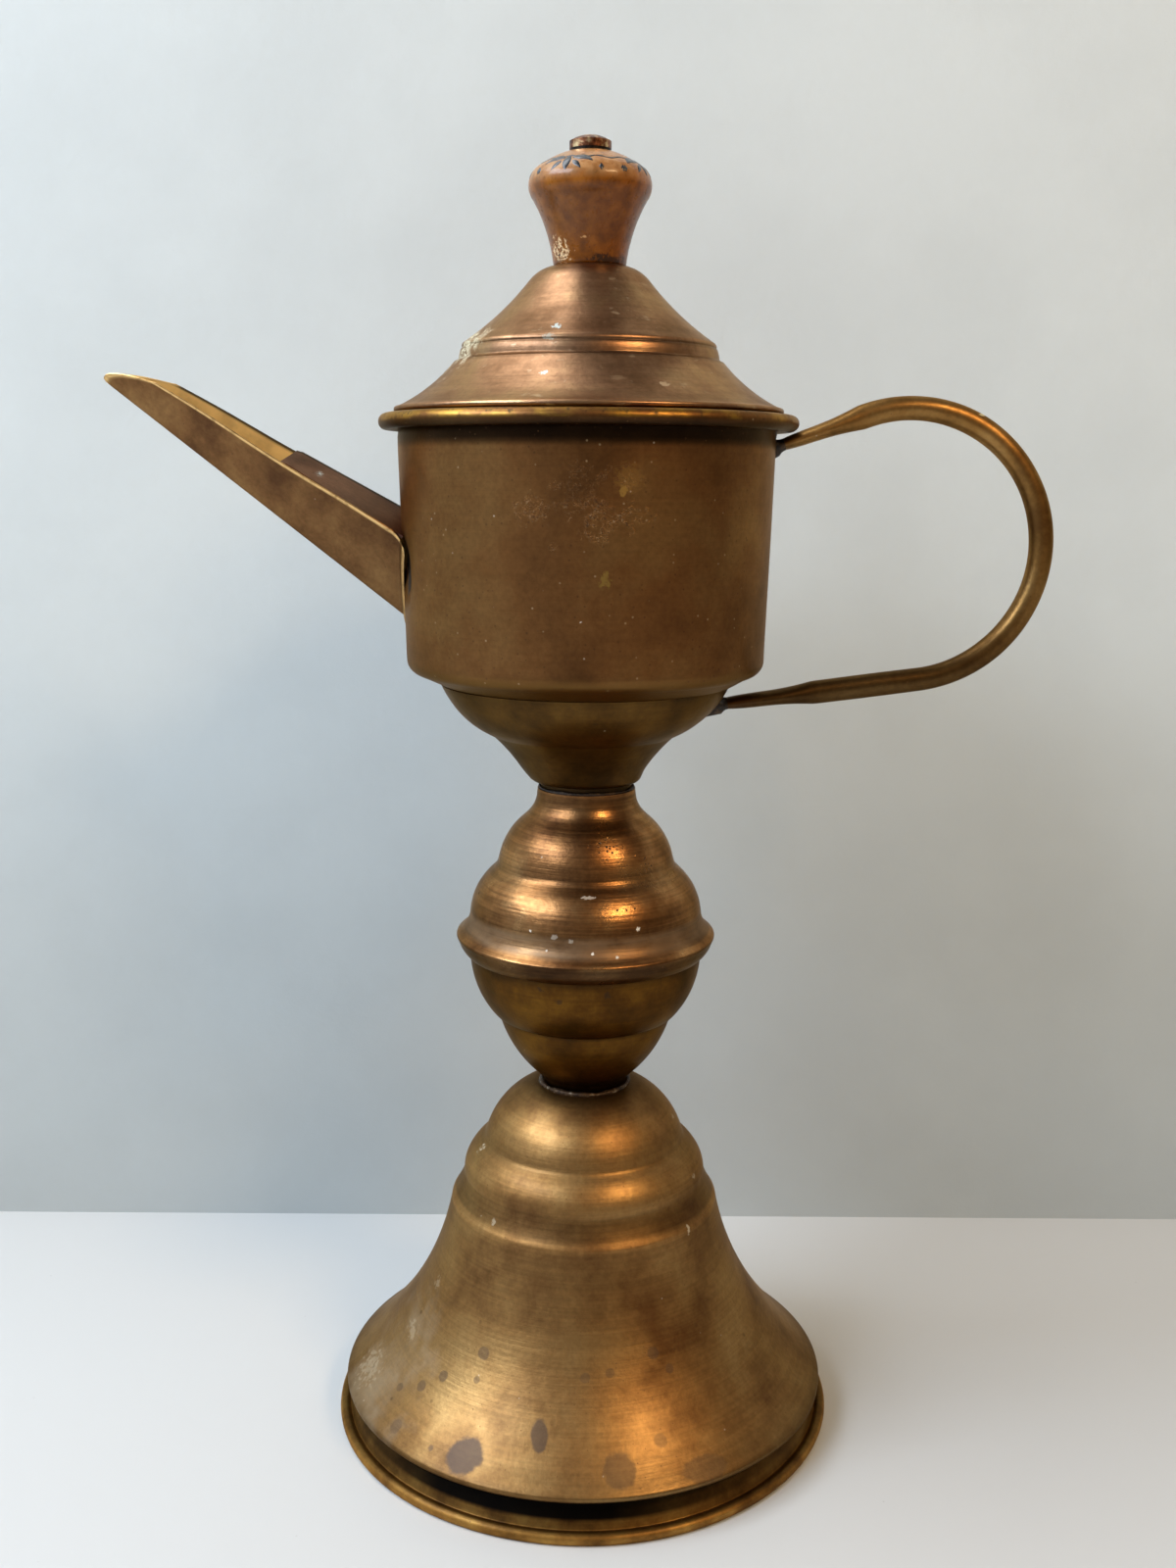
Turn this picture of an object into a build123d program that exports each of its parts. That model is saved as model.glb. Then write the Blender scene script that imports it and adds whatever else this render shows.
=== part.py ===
from build123d import *
import os
from math import acos, asin, atan2, cos, degrees, hypot, radians, sin, tan

# Pedestal oil lamp: millimetres, +Z up, origin on the lamp's axis where it stands.
# The spout points along -X and the handle along +X.

# Sheet brass of every spun or folded piece, and the film that solder fills
SHEET = 0.8
SOLDER_FILM = 0.02

# Base plate: rolled edge, sloping shoulder and raised disc, set by the bell's mouth
BASE_MARGIN = 1.9
BASE_ROLL = 1.75
BASE_FLAT = 0.3
BASE_ROLL_START = 140.0
BASE_ROLL_TURN = 290.0
LIP_OVERHANG = 4.9
BASE_RISE = 9.2

# Bell foot, from its mouth up: radius at the top of each stretch, height, swell or hollow
MOUTH_R = 69.5
MOUTH_ROLL = 1.2
MOUTH_TURN = 140.0
MOUTH_FLANGE = 7.0
RIDGE_R = 38.6
FLARE_H = 54.0
FLARE_HOLLOW = 5.4
BAND_R = 34.6
BAND_H = 8.1
BAND_HOLLOW = 0.4
RING_R = 28.2
RING_H = 12.4
RING_SWELL = 0.9
CROWN_R = 14.2
CROWN_H = 14.3
CROWN_SWELL = 2.25

# Lower knop: neck in the bell's crown, cup, ledge and bowl
NECK_R = 11.6
NECK_FIT = 0.1
NECK_TAIL = 5.0
CUP_FOOT_R = 13.3
CUP_FOOT_H = 3.5
CUP_FOOT_HOLLOW = 0.3
CUP_R = 24.0
CUP_H = 16.8
CUP_SWELL = 1.6
LEDGE_W = 1.4
LEDGE_H = 0.6
BOWL_R = 32.4
BOWL_H = 18.4
BOWL_SWELL = 1.7

# Upper knop: skirt crimped round the lower half's rim, crest, two domes and a collar
SKIRT_H = 4.4
SKIRT_LEAN = 29.0
CRIMP_FIT = 0.1
RIM_PLAY = 0.4
CREST_H = 1.0
CREST_SWELL = 0.35
WAIST_R = 32.3
WAIST_H = 6.3
WAIST_HOLLOW = 0.9
LOW_DOME_R = 24.6
LOW_DOME_H = 12.9
LOW_DOME_SWELL = 1.7
HIGH_DOME_R = 17.6
HIGH_DOME_H = 13.5
HIGH_DOME_SWELL = 1.55
COVE_R = 13.7
COVE_H = 5.6
COVE_HOLLOW = 0.65
COLLAR_R = 13.5
COLLAR_H = 2.7

# Under-bowl: spigot in the collar, rounded foot, flaring cove, bulge and inner flange
SPIGOT_FIT = 0.1
SPIGOT_TAIL = 6.0
SPIGOT_SHOWN = 2.3
FOOT_R = 15.1
FOOT_H = 1.0
FOOT_SWELL = 0.45
UNDER_COVE_R = 24.8
UNDER_COVE_H = 11.6
UNDER_COVE_HOLLOW = 0.75
UNDER_R = 39.4
UNDER_H = 14.3
UNDER_SWELL = 1.5
UNDER_FLANGE = 5.0

# Reservoir: flat floor, sloping bottom, rounded corner, wall and rolled rim
SLOPE_R = 45.2
SLOPE_H = 2.9
POT_FOOT_R = 48.0
CORNER_H = 3.9
CORNER_SWELL = 0.9
POT_TOP_R = 49.4
POT_H = 70.95
RIM_BEND_R = 1.0
RIM_LEDGE = 2.85
RIM_ROLL = 2.1
RIM_TURN = 250.0

# Spout: V-shaped channel on a climbing axis, leaning towards -Y
SPOUT_CLIMB = 34.0
SPOUT_LEAN = 13.0
SPOUT_ROOT_Z = 29.8
SPOUT_ROOT_W = 22.9
SPOUT_ROOT_D = 21.9
SPOUT_TIP_W = 5.6
SPOUT_TIP_D = 7.5
SPOUT_L = 96.4
SPOUT_LIP_Z = 79.0
SPOUT_ROOT_FOLD = 1.2
SPOUT_TIP_FOLD = 0.5
SPOUT_FLANGE = 1.6
SPOUT_INSIDE = 9.0
COVER_L = 33.0
COVER_FIT = 0.1

# Handle: round rod bent to a loop, hammered flat where it is soldered on
ROD_R = 3.2
BEND_SHARE = 0.4975
BEND_HEIGHT_SHARE = 0.537
BEND_OUT = 36.2
UPPER_END_DROP = 8.0
UPPER_TAPER = 24.0
LOWER_END_DROP = 4.9
LOWER_END_IN = 2.8
LOWER_TAPER = 26.0
TONGUE_W = 9.2
TONGUE_T = 1.6
TONGUE_SUNK = 3.0
BLOB_MARGIN = 1.2
BLOB_L = 1.6

# Lid: hemmed flat brim, cone, swelling band, upper cone and rounded top
LID_GAP = 0.2
LID_OVERLAP = 1.9
HEM_R = 0.8
BRIM_INSET = 2.6
LID_CONE_R = 34.2
LID_CONE_H = 11.95
LID_CONE_HOLLOW = 0.2
LID_BAND_R = 31.6
LID_BAND_H = 5.5
LID_BAND_SWELL = 0.35
LID_SLOPE_R = 15.6
LID_SLOPE_H = 14.9
LID_SLOPE_HOLLOW = 0.9
LID_TOP_R = 10.2
LID_TOP_H = 3.3
LID_TOP_SWELL = 0.5
LID_SKIRT_FIT = 0.6
LID_SKIRT_H = 9.0

# Knob, its screw, washers and nut
KNOB_FOOT_R = 8.8
KNOB_FOOT_H = 0.6
KNOB_FOOT_STEP = 0.3
KNOB_NECK_R = 14.8
KNOB_NECK_H = 16.0
KNOB_NECK_HOLLOW = 1.1
KNOB_TOP_R = 6.4
KNOB_TOP_H = 11.5
KNOB_TOP_SWELL = 4.8
SCREW_R = 2.5
SCREW_FIT = 0.1
SCREW_TAIL = 1.5
HEAD_R = 5.4
HEAD_SIDE_H = 1.9
HEAD_DOME_H = 1.6
SLOT_W = 1.3
SLOT_D = 1.3
HEAD_WASHER_R = 5.3
HEAD_WASHER_T = 0.9
LID_WASHER_R = 6.5
LID_WASHER_T = 1.0
NUT_FLATS = 8.0
NUT_H = 4.0
NUT_PLAY = 0.15

# Solder fillets: the leg of each seam along the two walls that it joins
FOOT_SEAM = 1.8
NECK_SEAM_H = 0.9
INNER_SEAM = 1.2

# Heights that follow from the stack, from the base up
ridge_z = BASE_RISE + FLARE_H
band_z = ridge_z + BAND_H
ring_z = band_z + RING_H
crown_z = ring_z + CROWN_H
cup_foot_z = crown_z + CUP_FOOT_H
cup_z = cup_foot_z + CUP_H
bowl_z = cup_z + LEDGE_H + BOWL_H
crest_z = bowl_z + SKIRT_H
waist_z = crest_z + CREST_H + WAIST_H
low_dome_z = waist_z + LOW_DOME_H
high_dome_z = low_dome_z + HIGH_DOME_H
cove_z = high_dome_z + COVE_H
collar_z = cove_z + COLLAR_H
foot_z = collar_z + SPIGOT_SHOWN
under_cove_z = foot_z + FOOT_H + UNDER_COVE_H
floor_z = under_cove_z + UNDER_H
corner_z = floor_z + SLOPE_H + CORNER_H
rim_z = floor_z + POT_H
hem_z = rim_z + LID_GAP
brim_z = hem_z + 2 * HEM_R
lid_cone_z = brim_z + LID_CONE_H
lid_band_z = lid_cone_z + LID_BAND_H
lid_slope_z = lid_band_z + LID_SLOPE_H
lid_top_z = lid_slope_z + LID_TOP_H
knob_neck_z = lid_top_z + KNOB_FOOT_H + KNOB_NECK_H
knob_top_z = knob_neck_z + KNOB_TOP_H

# Radii that follow from the fits
base_r = MOUTH_R + BASE_MARGIN
base_disc_r = MOUTH_R - LIP_OVERHANG
skirt_r = BOWL_R + CRIMP_FIT + SHEET / cos(radians(SKIRT_LEAN))
crest_r = skirt_r + SKIRT_H * tan(radians(SKIRT_LEAN))
spigot_r = COLLAR_R - SHEET - SPIGOT_FIT
lid_skirt_r = POT_TOP_R - SHEET - LID_SKIRT_FIT
lid_r = POT_TOP_R + LID_OVERLAP
brim_r = POT_TOP_R - BRIM_INSET
hole_r = SCREW_R + SCREW_FIT


def under_bowl_outline():
    """Outside of the under-bowl, from its spigot up to the edge of its flange."""
    spigot = Line((spigot_r, collar_z - SPIGOT_TAIL), (spigot_r, foot_z))
    foot = SagittaArc(spigot @ 1, (FOOT_R, foot_z + FOOT_H), -FOOT_SWELL)
    cove = SagittaArc(foot @ 1, (UNDER_COVE_R, under_cove_z), UNDER_COVE_HOLLOW)
    SagittaArc(cove @ 1, (UNDER_R, floor_z), -UNDER_SWELL)


def fillet_ring(corner_r, corner_z, leg_r, leg_z):
    """Ring of solder with a three-cornered section in the corner of two walls."""
    with BuildPart() as ring:
        with BuildSketch(Plane.XZ):
            with BuildLine():
                Polyline(
                    (corner_r, corner_z),
                    (corner_r + leg_r, corner_z),
                    (corner_r, corner_z + leg_z),
                    close=True,
                )
            make_face()
        revolve(axis=Axis.Z)
    return ring.part


def washer(bottom_z, outer_r, thickness):
    """Plain washer on the lamp's axis, bored for the knob's screw."""
    with BuildPart() as ring:
        with BuildSketch(Plane.XY.offset(bottom_z)):
            Circle(outer_r)
            Circle(hole_r, mode=Mode.SUBTRACT)
        extrude(amount=thickness)
    return ring.part


def save(part, name):
    """Label a finished piece and write its file."""
    part.label = name
    export_step(part, f"parts/{name}.step")


os.makedirs("parts", exist_ok=True)

# Base plate: the sheet runs out over the disc, down the shoulder and round the rolled edge
roll_z = BASE_ROLL - BASE_FLAT
with BuildPart() as base_plate:
    with BuildSketch(Plane.XZ):
        with BuildLine():
            base_roll = CenterArc(
                (base_r - BASE_ROLL, roll_z), BASE_ROLL, BASE_ROLL_START, -BASE_ROLL_TURN
            )
            Polyline((0, BASE_RISE), (base_disc_r, BASE_RISE), base_roll @ 0)
            offset(amount=SHEET, side=Side.RIGHT)
        make_face()
    revolve(axis=Axis.Z)
    split(bisect_by=Plane.XY, keep=Keep.TOP)
save(base_plate.part, "base_plate")

# Bell foot: flange that lies on the base plate's disc, rolled mouth, flare, rings and crown
with BuildPart() as bell_foot:
    with BuildSketch(Plane.XZ):
        with BuildLine():
            mouth = CenterArc(
                (MOUTH_R - MOUTH_ROLL, BASE_RISE + MOUTH_ROLL), MOUTH_ROLL, -90, MOUTH_TURN
            )
            Line((MOUTH_R - MOUTH_FLANGE, BASE_RISE), mouth @ 0)
            flare = SagittaArc(mouth @ 1, (RIDGE_R, ridge_z), FLARE_HOLLOW)
            band = SagittaArc(flare @ 1, (BAND_R, band_z), BAND_HOLLOW)
            ring = SagittaArc(band @ 1, (RING_R, ring_z), -RING_SWELL)
            crown = SagittaArc(ring @ 1, (CROWN_R, crown_z), -CROWN_SWELL)
            Line(crown @ 1, (NECK_R + NECK_FIT, crown_z))
            offset(amount=SHEET, side=Side.LEFT)
        make_face()
    revolve(axis=Axis.Z)
save(bell_foot.part, "bell_foot")

# Lower knop: its rim flares inside the upper half's crimped skirt
rim_rise = SKIRT_H - RIM_PLAY
with BuildPart() as lower_knop:
    with BuildSketch(Plane.XZ):
        with BuildLine():
            tail = Line((NECK_R, crown_z - NECK_TAIL), (NECK_R, crown_z))
            cup_foot = SagittaArc(tail @ 1, (CUP_FOOT_R, cup_foot_z), CUP_FOOT_HOLLOW)
            cup = SagittaArc(cup_foot @ 1, (CUP_R, cup_z), -CUP_SWELL)
            ledge = Line(cup @ 1, (CUP_R + LEDGE_W, cup_z + LEDGE_H))
            bowl = SagittaArc(ledge @ 1, (BOWL_R, bowl_z), -BOWL_SWELL)
            Line(bowl @ 1, (BOWL_R + rim_rise * tan(radians(SKIRT_LEAN)), bowl_z + rim_rise))
            offset(amount=SHEET, side=Side.LEFT)
        make_face()
    revolve(axis=Axis.Z)
save(lower_knop.part, "lower_knop")

# Upper knop
with BuildPart() as upper_knop:
    with BuildSketch(Plane.XZ):
        with BuildLine():
            skirt = Line((skirt_r, bowl_z), (crest_r, crest_z))
            crest = SagittaArc(skirt @ 1, (crest_r, crest_z + CREST_H), -CREST_SWELL)
            waist = SagittaArc(crest @ 1, (WAIST_R, waist_z), WAIST_HOLLOW)
            low_dome = SagittaArc(waist @ 1, (LOW_DOME_R, low_dome_z), -LOW_DOME_SWELL)
            high_dome = SagittaArc(low_dome @ 1, (HIGH_DOME_R, high_dome_z), -HIGH_DOME_SWELL)
            knop_cove = SagittaArc(high_dome @ 1, (COVE_R, cove_z), COVE_HOLLOW)
            Line(knop_cove @ 1, (COLLAR_R, collar_z))
            offset(amount=SHEET, side=Side.LEFT)
        make_face()
    revolve(axis=Axis.Z)
save(upper_knop.part, "upper_knop")

# Under-bowl, with a flat flange turned in under the reservoir's floor
with BuildPart() as under_bowl:
    with BuildSketch(Plane.XZ):
        with BuildLine():
            under_bowl_outline()
            Line((UNDER_R, floor_z), (UNDER_R - UNDER_FLANGE, floor_z))
            offset(amount=SHEET, side=Side.LEFT)
        make_face()
    revolve(axis=Axis.Z)
save(under_bowl.part, "under_bowl")

# The under-bowl as if it were solid, for cutting the handle's lower end to its wall
with BuildPart() as under_bowl_block:
    with BuildSketch(Plane.XZ):
        with BuildLine():
            under_bowl_outline()
            Polyline(
                (UNDER_R, floor_z),
                (0, floor_z),
                (0, collar_z - SPIGOT_TAIL),
                (spigot_r, collar_z - SPIGOT_TAIL),
            )
        make_face()
    revolve(axis=Axis.Z)


def wall_block(margin):
    """The reservoir's wall as a solid cone, grown outwards by a margin."""
    with BuildPart() as block:
        with BuildSketch(Plane.XZ):
            with BuildLine():
                Polyline(
                    (0, corner_z),
                    (POT_FOOT_R + margin, corner_z),
                    (POT_TOP_R + margin, rim_z - SHEET - RIM_BEND_R),
                    (0, rim_z - SHEET - RIM_BEND_R),
                    close=True,
                )
            make_face()
        revolve(axis=Axis.Z)
    return block.part


# Spout stations: planes square to the climbing axis, their X towards -Y and down with the lean
climb = radians(SPOUT_CLIMB)
lean = radians(SPOUT_LEAN)
spout_plane = Plane(
    origin=(-POT_FOOT_R, 0, floor_z + SPOUT_ROOT_Z),
    x_dir=(-sin(lean) * sin(climb), -cos(lean), -sin(lean) * cos(climb)),
    z_dir=(-cos(climb), 0, sin(climb)),
)


# Plane through the channel's two top edges, which fall towards the axis as the spout narrows
top_slope = (SPOUT_TIP_D - SPOUT_ROOT_D) / (2 * SPOUT_L)
spout_top = Plane(
    origin=spout_plane.origin + spout_plane.y_dir * (SPOUT_ROOT_D / 2),
    z_dir=spout_plane.y_dir - spout_plane.z_dir * top_slope,
)


def spout_vee(inset):
    """Solid V along the whole spout, its walls moved in by inset, standing past its top edges."""
    with BuildPart() as vee:
        for station in (-SPOUT_INSIDE, SPOUT_L + SPOUT_TIP_D):
            share = station / SPOUT_L
            width = SPOUT_ROOT_W + (SPOUT_TIP_W - SPOUT_ROOT_W) * share
            depth = SPOUT_ROOT_D + (SPOUT_TIP_D - SPOUT_ROOT_D) * share
            keel_r = SHEET + SPOUT_ROOT_FOLD + (SPOUT_TIP_FOLD - SPOUT_ROOT_FOLD) * share
            rise = depth - keel_r
            half_angle = atan2(width / 2, rise) - asin(keel_r / hypot(width / 2, rise))
            point_y = keel_r - depth / 2 - (keel_r - inset) / sin(half_angle)
            top_y = depth / 2 + SPOUT_TIP_D
            half_w = (top_y - point_y) * tan(half_angle)
            with BuildSketch(spout_plane.offset(station)):
                with BuildLine():
                    Polyline((-half_w, top_y), (0, point_y), (half_w, top_y), close=True)
                make_face()
                fillet(vertices().sort_by(Axis.Y)[0], keel_r - inset)
        loft(ruled=True)
    return vee.part


# Spout channel: outside less inside, a narrow flange on the wall, and a level lip at the tip
with BuildPart() as spout_channel:
    add(spout_vee(0))
    add(spout_vee(-SPOUT_FLANGE) & wall_block(SHEET))
    add(spout_vee(SHEET), mode=Mode.SUBTRACT)
    add(wall_block(0), mode=Mode.SUBTRACT)
    split(bisect_by=spout_top, keep=Keep.BOTTOM)
    split(bisect_by=Plane.XY.offset(floor_z + SPOUT_LIP_Z), keep=Keep.BOTTOM)
save(spout_channel.part, "spout_channel")

# Spout cover: plate laid in the channel's top, flush with its edges
with BuildPart() as spout_cover:
    add(spout_vee(SHEET + COVER_FIT))
    add(wall_block(0), mode=Mode.SUBTRACT)
    split(bisect_by=spout_top, keep=Keep.BOTTOM)
    split(bisect_by=spout_top.offset(-SHEET), keep=Keep.TOP)
    split(bisect_by=spout_plane.offset(COVER_L), keep=Keep.BOTTOM)
save(spout_cover.part, "spout_cover")

# The hole in the reservoir's wall: the channel's inside, below its cover
with BuildPart() as spout_throat:
    add(spout_vee(SHEET))
    split(bisect_by=spout_top.offset(-SHEET), keep=Keep.BOTTOM)

# Reservoir: the sheet runs out over the floor, up the wall and round the rolled rim
with BuildPart() as reservoir:
    with BuildSketch(Plane.XZ):
        with BuildLine():
            slope = Polyline((0, floor_z), (UNDER_R, floor_z), (SLOPE_R, floor_z + SLOPE_H))
            corner = SagittaArc(slope @ 1, (POT_FOOT_R, corner_z), -CORNER_SWELL)
            bend_z = rim_z - SHEET - RIM_BEND_R
            wall = Line(corner @ 1, (POT_TOP_R, bend_z))
            bend = CenterArc((POT_TOP_R + RIM_BEND_R, bend_z), RIM_BEND_R, 180, -90)
            rim_r = POT_TOP_R + RIM_BEND_R + RIM_LEDGE
            Line(bend @ 1, (rim_r, rim_z - SHEET))
            CenterArc((rim_r, rim_z - RIM_ROLL), RIM_ROLL - SHEET, 90, -RIM_TURN)
            offset(amount=SHEET, side=Side.LEFT)
        make_face()
    revolve(axis=Axis.Z)
    add(spout_throat.part, mode=Mode.SUBTRACT)
save(reservoir.part, "reservoir")

# Handle centreline: a bend in the XZ plane with a tangent run to each soldered end
bend_x = POT_TOP_R + BEND_OUT
bend_r = POT_H * BEND_SHARE
bend_centre_z = floor_z + POT_H * BEND_HEIGHT_SHARE


def tangent_angle(end, side):
    """Angle on the bend where the run to an end leaves it; side is +1 below and -1 above."""
    dx = end[0] - bend_x
    dz = end[1] - bend_centre_z
    return degrees(atan2(dz, dx) + side * acos(bend_r / hypot(dx, dz)))


upper_end = (POT_TOP_R, rim_z - UPPER_END_DROP)
lower_end = (UNDER_R - LOWER_END_IN, floor_z - LOWER_END_DROP)
upper_angle = tangent_angle(upper_end, -1)
lower_angle = tangent_angle(lower_end, 1)


def run_plane(end, angle, distance):
    """Plane square to a run at a distance from its end, facing the lamp's axis."""
    turn = radians(angle)
    along = (-abs(sin(turn)), 0, -abs(cos(turn)))
    origin = (end[0] - along[0] * distance, 0, end[1] - along[2] * distance)
    return Plane(origin=origin, x_dir=(0, 1, 0), z_dir=along)


upper_start = run_plane(upper_end, upper_angle, UPPER_TAPER)
lower_start = run_plane(lower_end, lower_angle, LOWER_TAPER)
with BuildPart() as handle:
    with BuildLine() as centreline:
        with BuildLine(Plane.XZ):
            loop = CenterArc(
                (bend_x, bend_centre_z), bend_r, upper_angle, lower_angle - upper_angle
            )
        Line(upper_start.origin, loop @ 0)
        Line(loop @ 1, lower_start.origin)
    with BuildSketch(upper_start):
        Circle(ROD_R)
    sweep(path=centreline.wires()[0])
    for end, angle, taper in (
        (upper_end, upper_angle, UPPER_TAPER),
        (lower_end, lower_angle, LOWER_TAPER),
    ):
        with BuildSketch(run_plane(end, angle, taper)):
            Circle(ROD_R)
        with BuildSketch(run_plane(end, angle, -TONGUE_SUNK)):
            Ellipse(TONGUE_W / 2, TONGUE_T / 2)
        loft()
    add(wall_block(0), mode=Mode.SUBTRACT)
    add(under_bowl_block.part, mode=Mode.SUBTRACT)
save(handle.part, "handle")


def handle_solder(end, angle):
    """Blob of solder round the hammered tongue where it meets the wall."""
    with BuildPart() as blob:
        with BuildSketch(run_plane(end, angle, BLOB_L)):
            Ellipse(TONGUE_W / 2 + BLOB_MARGIN, TONGUE_T / 2 + BLOB_MARGIN)
        extrude(amount=BLOB_L + TONGUE_SUNK)
        add(wall_block(0), mode=Mode.SUBTRACT)
        add(under_bowl_block.part, mode=Mode.SUBTRACT)
        add(handle.part, mode=Mode.SUBTRACT)
    return blob.part


save(handle_solder(upper_end, upper_angle), "upper_handle_solder")
save(handle_solder(lower_end, lower_angle), "lower_handle_solder")

# Lid: sheet cap with a round hem that lies on the reservoir's rim
with BuildPart() as lid:
    with BuildSketch(Plane.XZ):
        with BuildLine():
            brim = Line((lid_r - HEM_R, brim_z), (brim_r, brim_z))
            cone = SagittaArc(brim @ 1, (LID_CONE_R, lid_cone_z), LID_CONE_HOLLOW)
            lid_band = SagittaArc(cone @ 1, (LID_BAND_R, lid_band_z), -LID_BAND_SWELL)
            lid_slope = SagittaArc(lid_band @ 1, (LID_SLOPE_R, lid_slope_z), LID_SLOPE_HOLLOW)
            lid_top = SagittaArc(lid_slope @ 1, (LID_TOP_R, lid_top_z), -LID_TOP_SWELL)
            Line(lid_top @ 1, (hole_r, lid_top_z))
            offset(amount=SHEET, side=Side.LEFT)
        make_face()
        with Locations((lid_r - HEM_R, hem_z + HEM_R)):
            Circle(HEM_R)
    revolve(axis=Axis.Z)
save(lid.part, "lid")

# Lid skirt: ring under the brim that centres the lid in the reservoir's mouth
with BuildPart() as lid_skirt:
    with BuildSketch(Plane.XY.offset(brim_z - SHEET)):
        Circle(lid_skirt_r)
        Circle(lid_skirt_r - SHEET, mode=Mode.SUBTRACT)
    extrude(amount=-LID_SKIRT_H)
save(lid_skirt.part, "lid_skirt")

# Knob, bored for its screw
with BuildPart() as knob:
    with BuildSketch(Plane.XZ):
        with BuildLine():
            knob_foot = Polyline(
                (hole_r, knob_top_z),
                (hole_r, lid_top_z),
                (KNOB_FOOT_R, lid_top_z),
                (KNOB_FOOT_R + KNOB_FOOT_STEP, lid_top_z + KNOB_FOOT_H),
            )
            knob_neck = SagittaArc(knob_foot @ 1, (KNOB_NECK_R, knob_neck_z), KNOB_NECK_HOLLOW)
            knob_crown = SagittaArc(knob_neck @ 1, (KNOB_TOP_R, knob_top_z), -KNOB_TOP_SWELL)
            Line(knob_crown @ 1, knob_foot @ 0)
        make_face()
    revolve(axis=Axis.Z)
save(knob.part, "knob")

# Washers above the knob and under the lid
head_z = knob_top_z + HEAD_WASHER_T
lid_under_z = lid_top_z - SHEET
nut_z = lid_under_z - LID_WASHER_T - NUT_PLAY - NUT_H
save(washer(knob_top_z, HEAD_WASHER_R, HEAD_WASHER_T), "head_washer")
save(washer(lid_under_z - LID_WASHER_T, LID_WASHER_R, LID_WASHER_T), "lid_washer")

# Knob screw: shank, domed head and slot
with BuildPart() as knob_screw:
    with BuildSketch(Plane.XZ):
        with BuildLine():
            shank = Polyline(
                (0, head_z + HEAD_SIDE_H + HEAD_DOME_H),
                (0, nut_z - SCREW_TAIL),
                (SCREW_R, nut_z - SCREW_TAIL),
                (SCREW_R, head_z),
                (HEAD_R, head_z),
                (HEAD_R, head_z + HEAD_SIDE_H),
            )
            TangentArc(shank @ 0, shank @ 1, tangent=(1, 0))
        make_face()
    revolve(axis=Axis.Z)
    with BuildSketch(Plane.XY.offset(head_z + HEAD_SIDE_H + HEAD_DOME_H)):
        Rectangle(3 * HEAD_R, SLOT_W)
    extrude(amount=-SLOT_D, mode=Mode.SUBTRACT)
save(knob_screw.part, "knob_screw")

# Knob nut under the lid
with BuildPart() as knob_nut:
    with BuildSketch(Plane.XY.offset(nut_z)):
        RegularPolygon(NUT_FLATS / 2, 6, major_radius=False)
        Circle(hole_r, mode=Mode.SUBTRACT)
    extrude(amount=NUT_H)
save(knob_nut.part, "knob_nut")

# Solder seams: at the bell's crown, in the collar, and out of sight inside the shells
foot_solder = fillet_ring(NECK_R + NECK_FIT, crown_z, FOOT_SEAM, FOOT_SEAM) - lower_knop.part
save(foot_solder, "foot_solder")
save(
    fillet_ring(spigot_r + SOLDER_FILM, collar_z, COLLAR_R - spigot_r, NECK_SEAM_H),
    "neck_solder",
)
save(
    fillet_ring(MOUTH_R - MOUTH_FLANGE - SOLDER_FILM, BASE_RISE, -INNER_SEAM, SHEET),
    "base_solder",
)
save(
    fillet_ring(UNDER_R - UNDER_FLANGE - SOLDER_FILM, floor_z, -INNER_SEAM, -SHEET),
    "bowl_solder",
)
save(
    fillet_ring(lid_skirt_r - SHEET - SOLDER_FILM, brim_z - SHEET, -INNER_SEAM / 2, -INNER_SEAM),
    "skirt_solder",
)
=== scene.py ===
import math

import bmesh
import bpy
import numpy as np
from mathutils import Matrix, Vector


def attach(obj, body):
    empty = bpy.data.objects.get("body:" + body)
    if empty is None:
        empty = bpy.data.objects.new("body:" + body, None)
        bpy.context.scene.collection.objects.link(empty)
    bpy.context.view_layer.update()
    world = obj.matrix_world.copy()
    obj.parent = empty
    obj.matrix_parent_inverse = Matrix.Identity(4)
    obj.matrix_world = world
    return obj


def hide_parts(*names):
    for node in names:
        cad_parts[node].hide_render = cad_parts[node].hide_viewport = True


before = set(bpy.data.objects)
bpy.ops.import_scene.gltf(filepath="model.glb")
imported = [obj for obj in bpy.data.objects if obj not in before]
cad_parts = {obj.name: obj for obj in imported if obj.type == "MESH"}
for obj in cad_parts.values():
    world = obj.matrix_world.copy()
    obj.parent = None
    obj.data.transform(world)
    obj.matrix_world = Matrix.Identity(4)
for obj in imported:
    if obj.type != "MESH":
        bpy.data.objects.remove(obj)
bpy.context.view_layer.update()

# Sizes are in millimetres until a mesh is made. +Z is up, the spout points along -X and the
# handle along +X, and every turned piece stands on the Z axis. The photograph is taken from -Y.
MM = 0.001
GAUGE = 0.8  # the sheet's thickness
TURNS = 160  # facets round a turned piece
SHARP = 50.0  # degrees past which an edge is drawn sharp


# Lines and surfaces as arrays

def arc(a, b, swell, count=40):
    """Circular arc from a to b whose middle stands swell to the right of the chord."""
    a, b = np.asarray(a, float), np.asarray(b, float)
    chord = np.hypot(*(b - a))
    along = (b - a) / chord
    right = np.array([along[1], -along[0]])
    if abs(swell) < 1e-6:
        return a + (b - a) * np.linspace(0, 1, count)[:, None]
    half = 2 * math.atan2(2 * swell, chord)
    radius = chord / (2 * math.sin(half))
    turn = np.linspace(-half, half, count)
    out = np.stack([np.sin(turn), np.cos(turn) - math.cos(half)], 1) * radius
    return (a + b) / 2 + out[:, :1] * along + out[:, 1:] * right


def curl(centre, radius, first, last, count=48):
    """Circular arc round a centre, from the first to the last angle in degrees."""
    turn = np.radians(np.linspace(first, last, count))
    return np.asarray(centre, float) + radius * np.stack([np.cos(turn), np.sin(turn)], 1)


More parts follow.
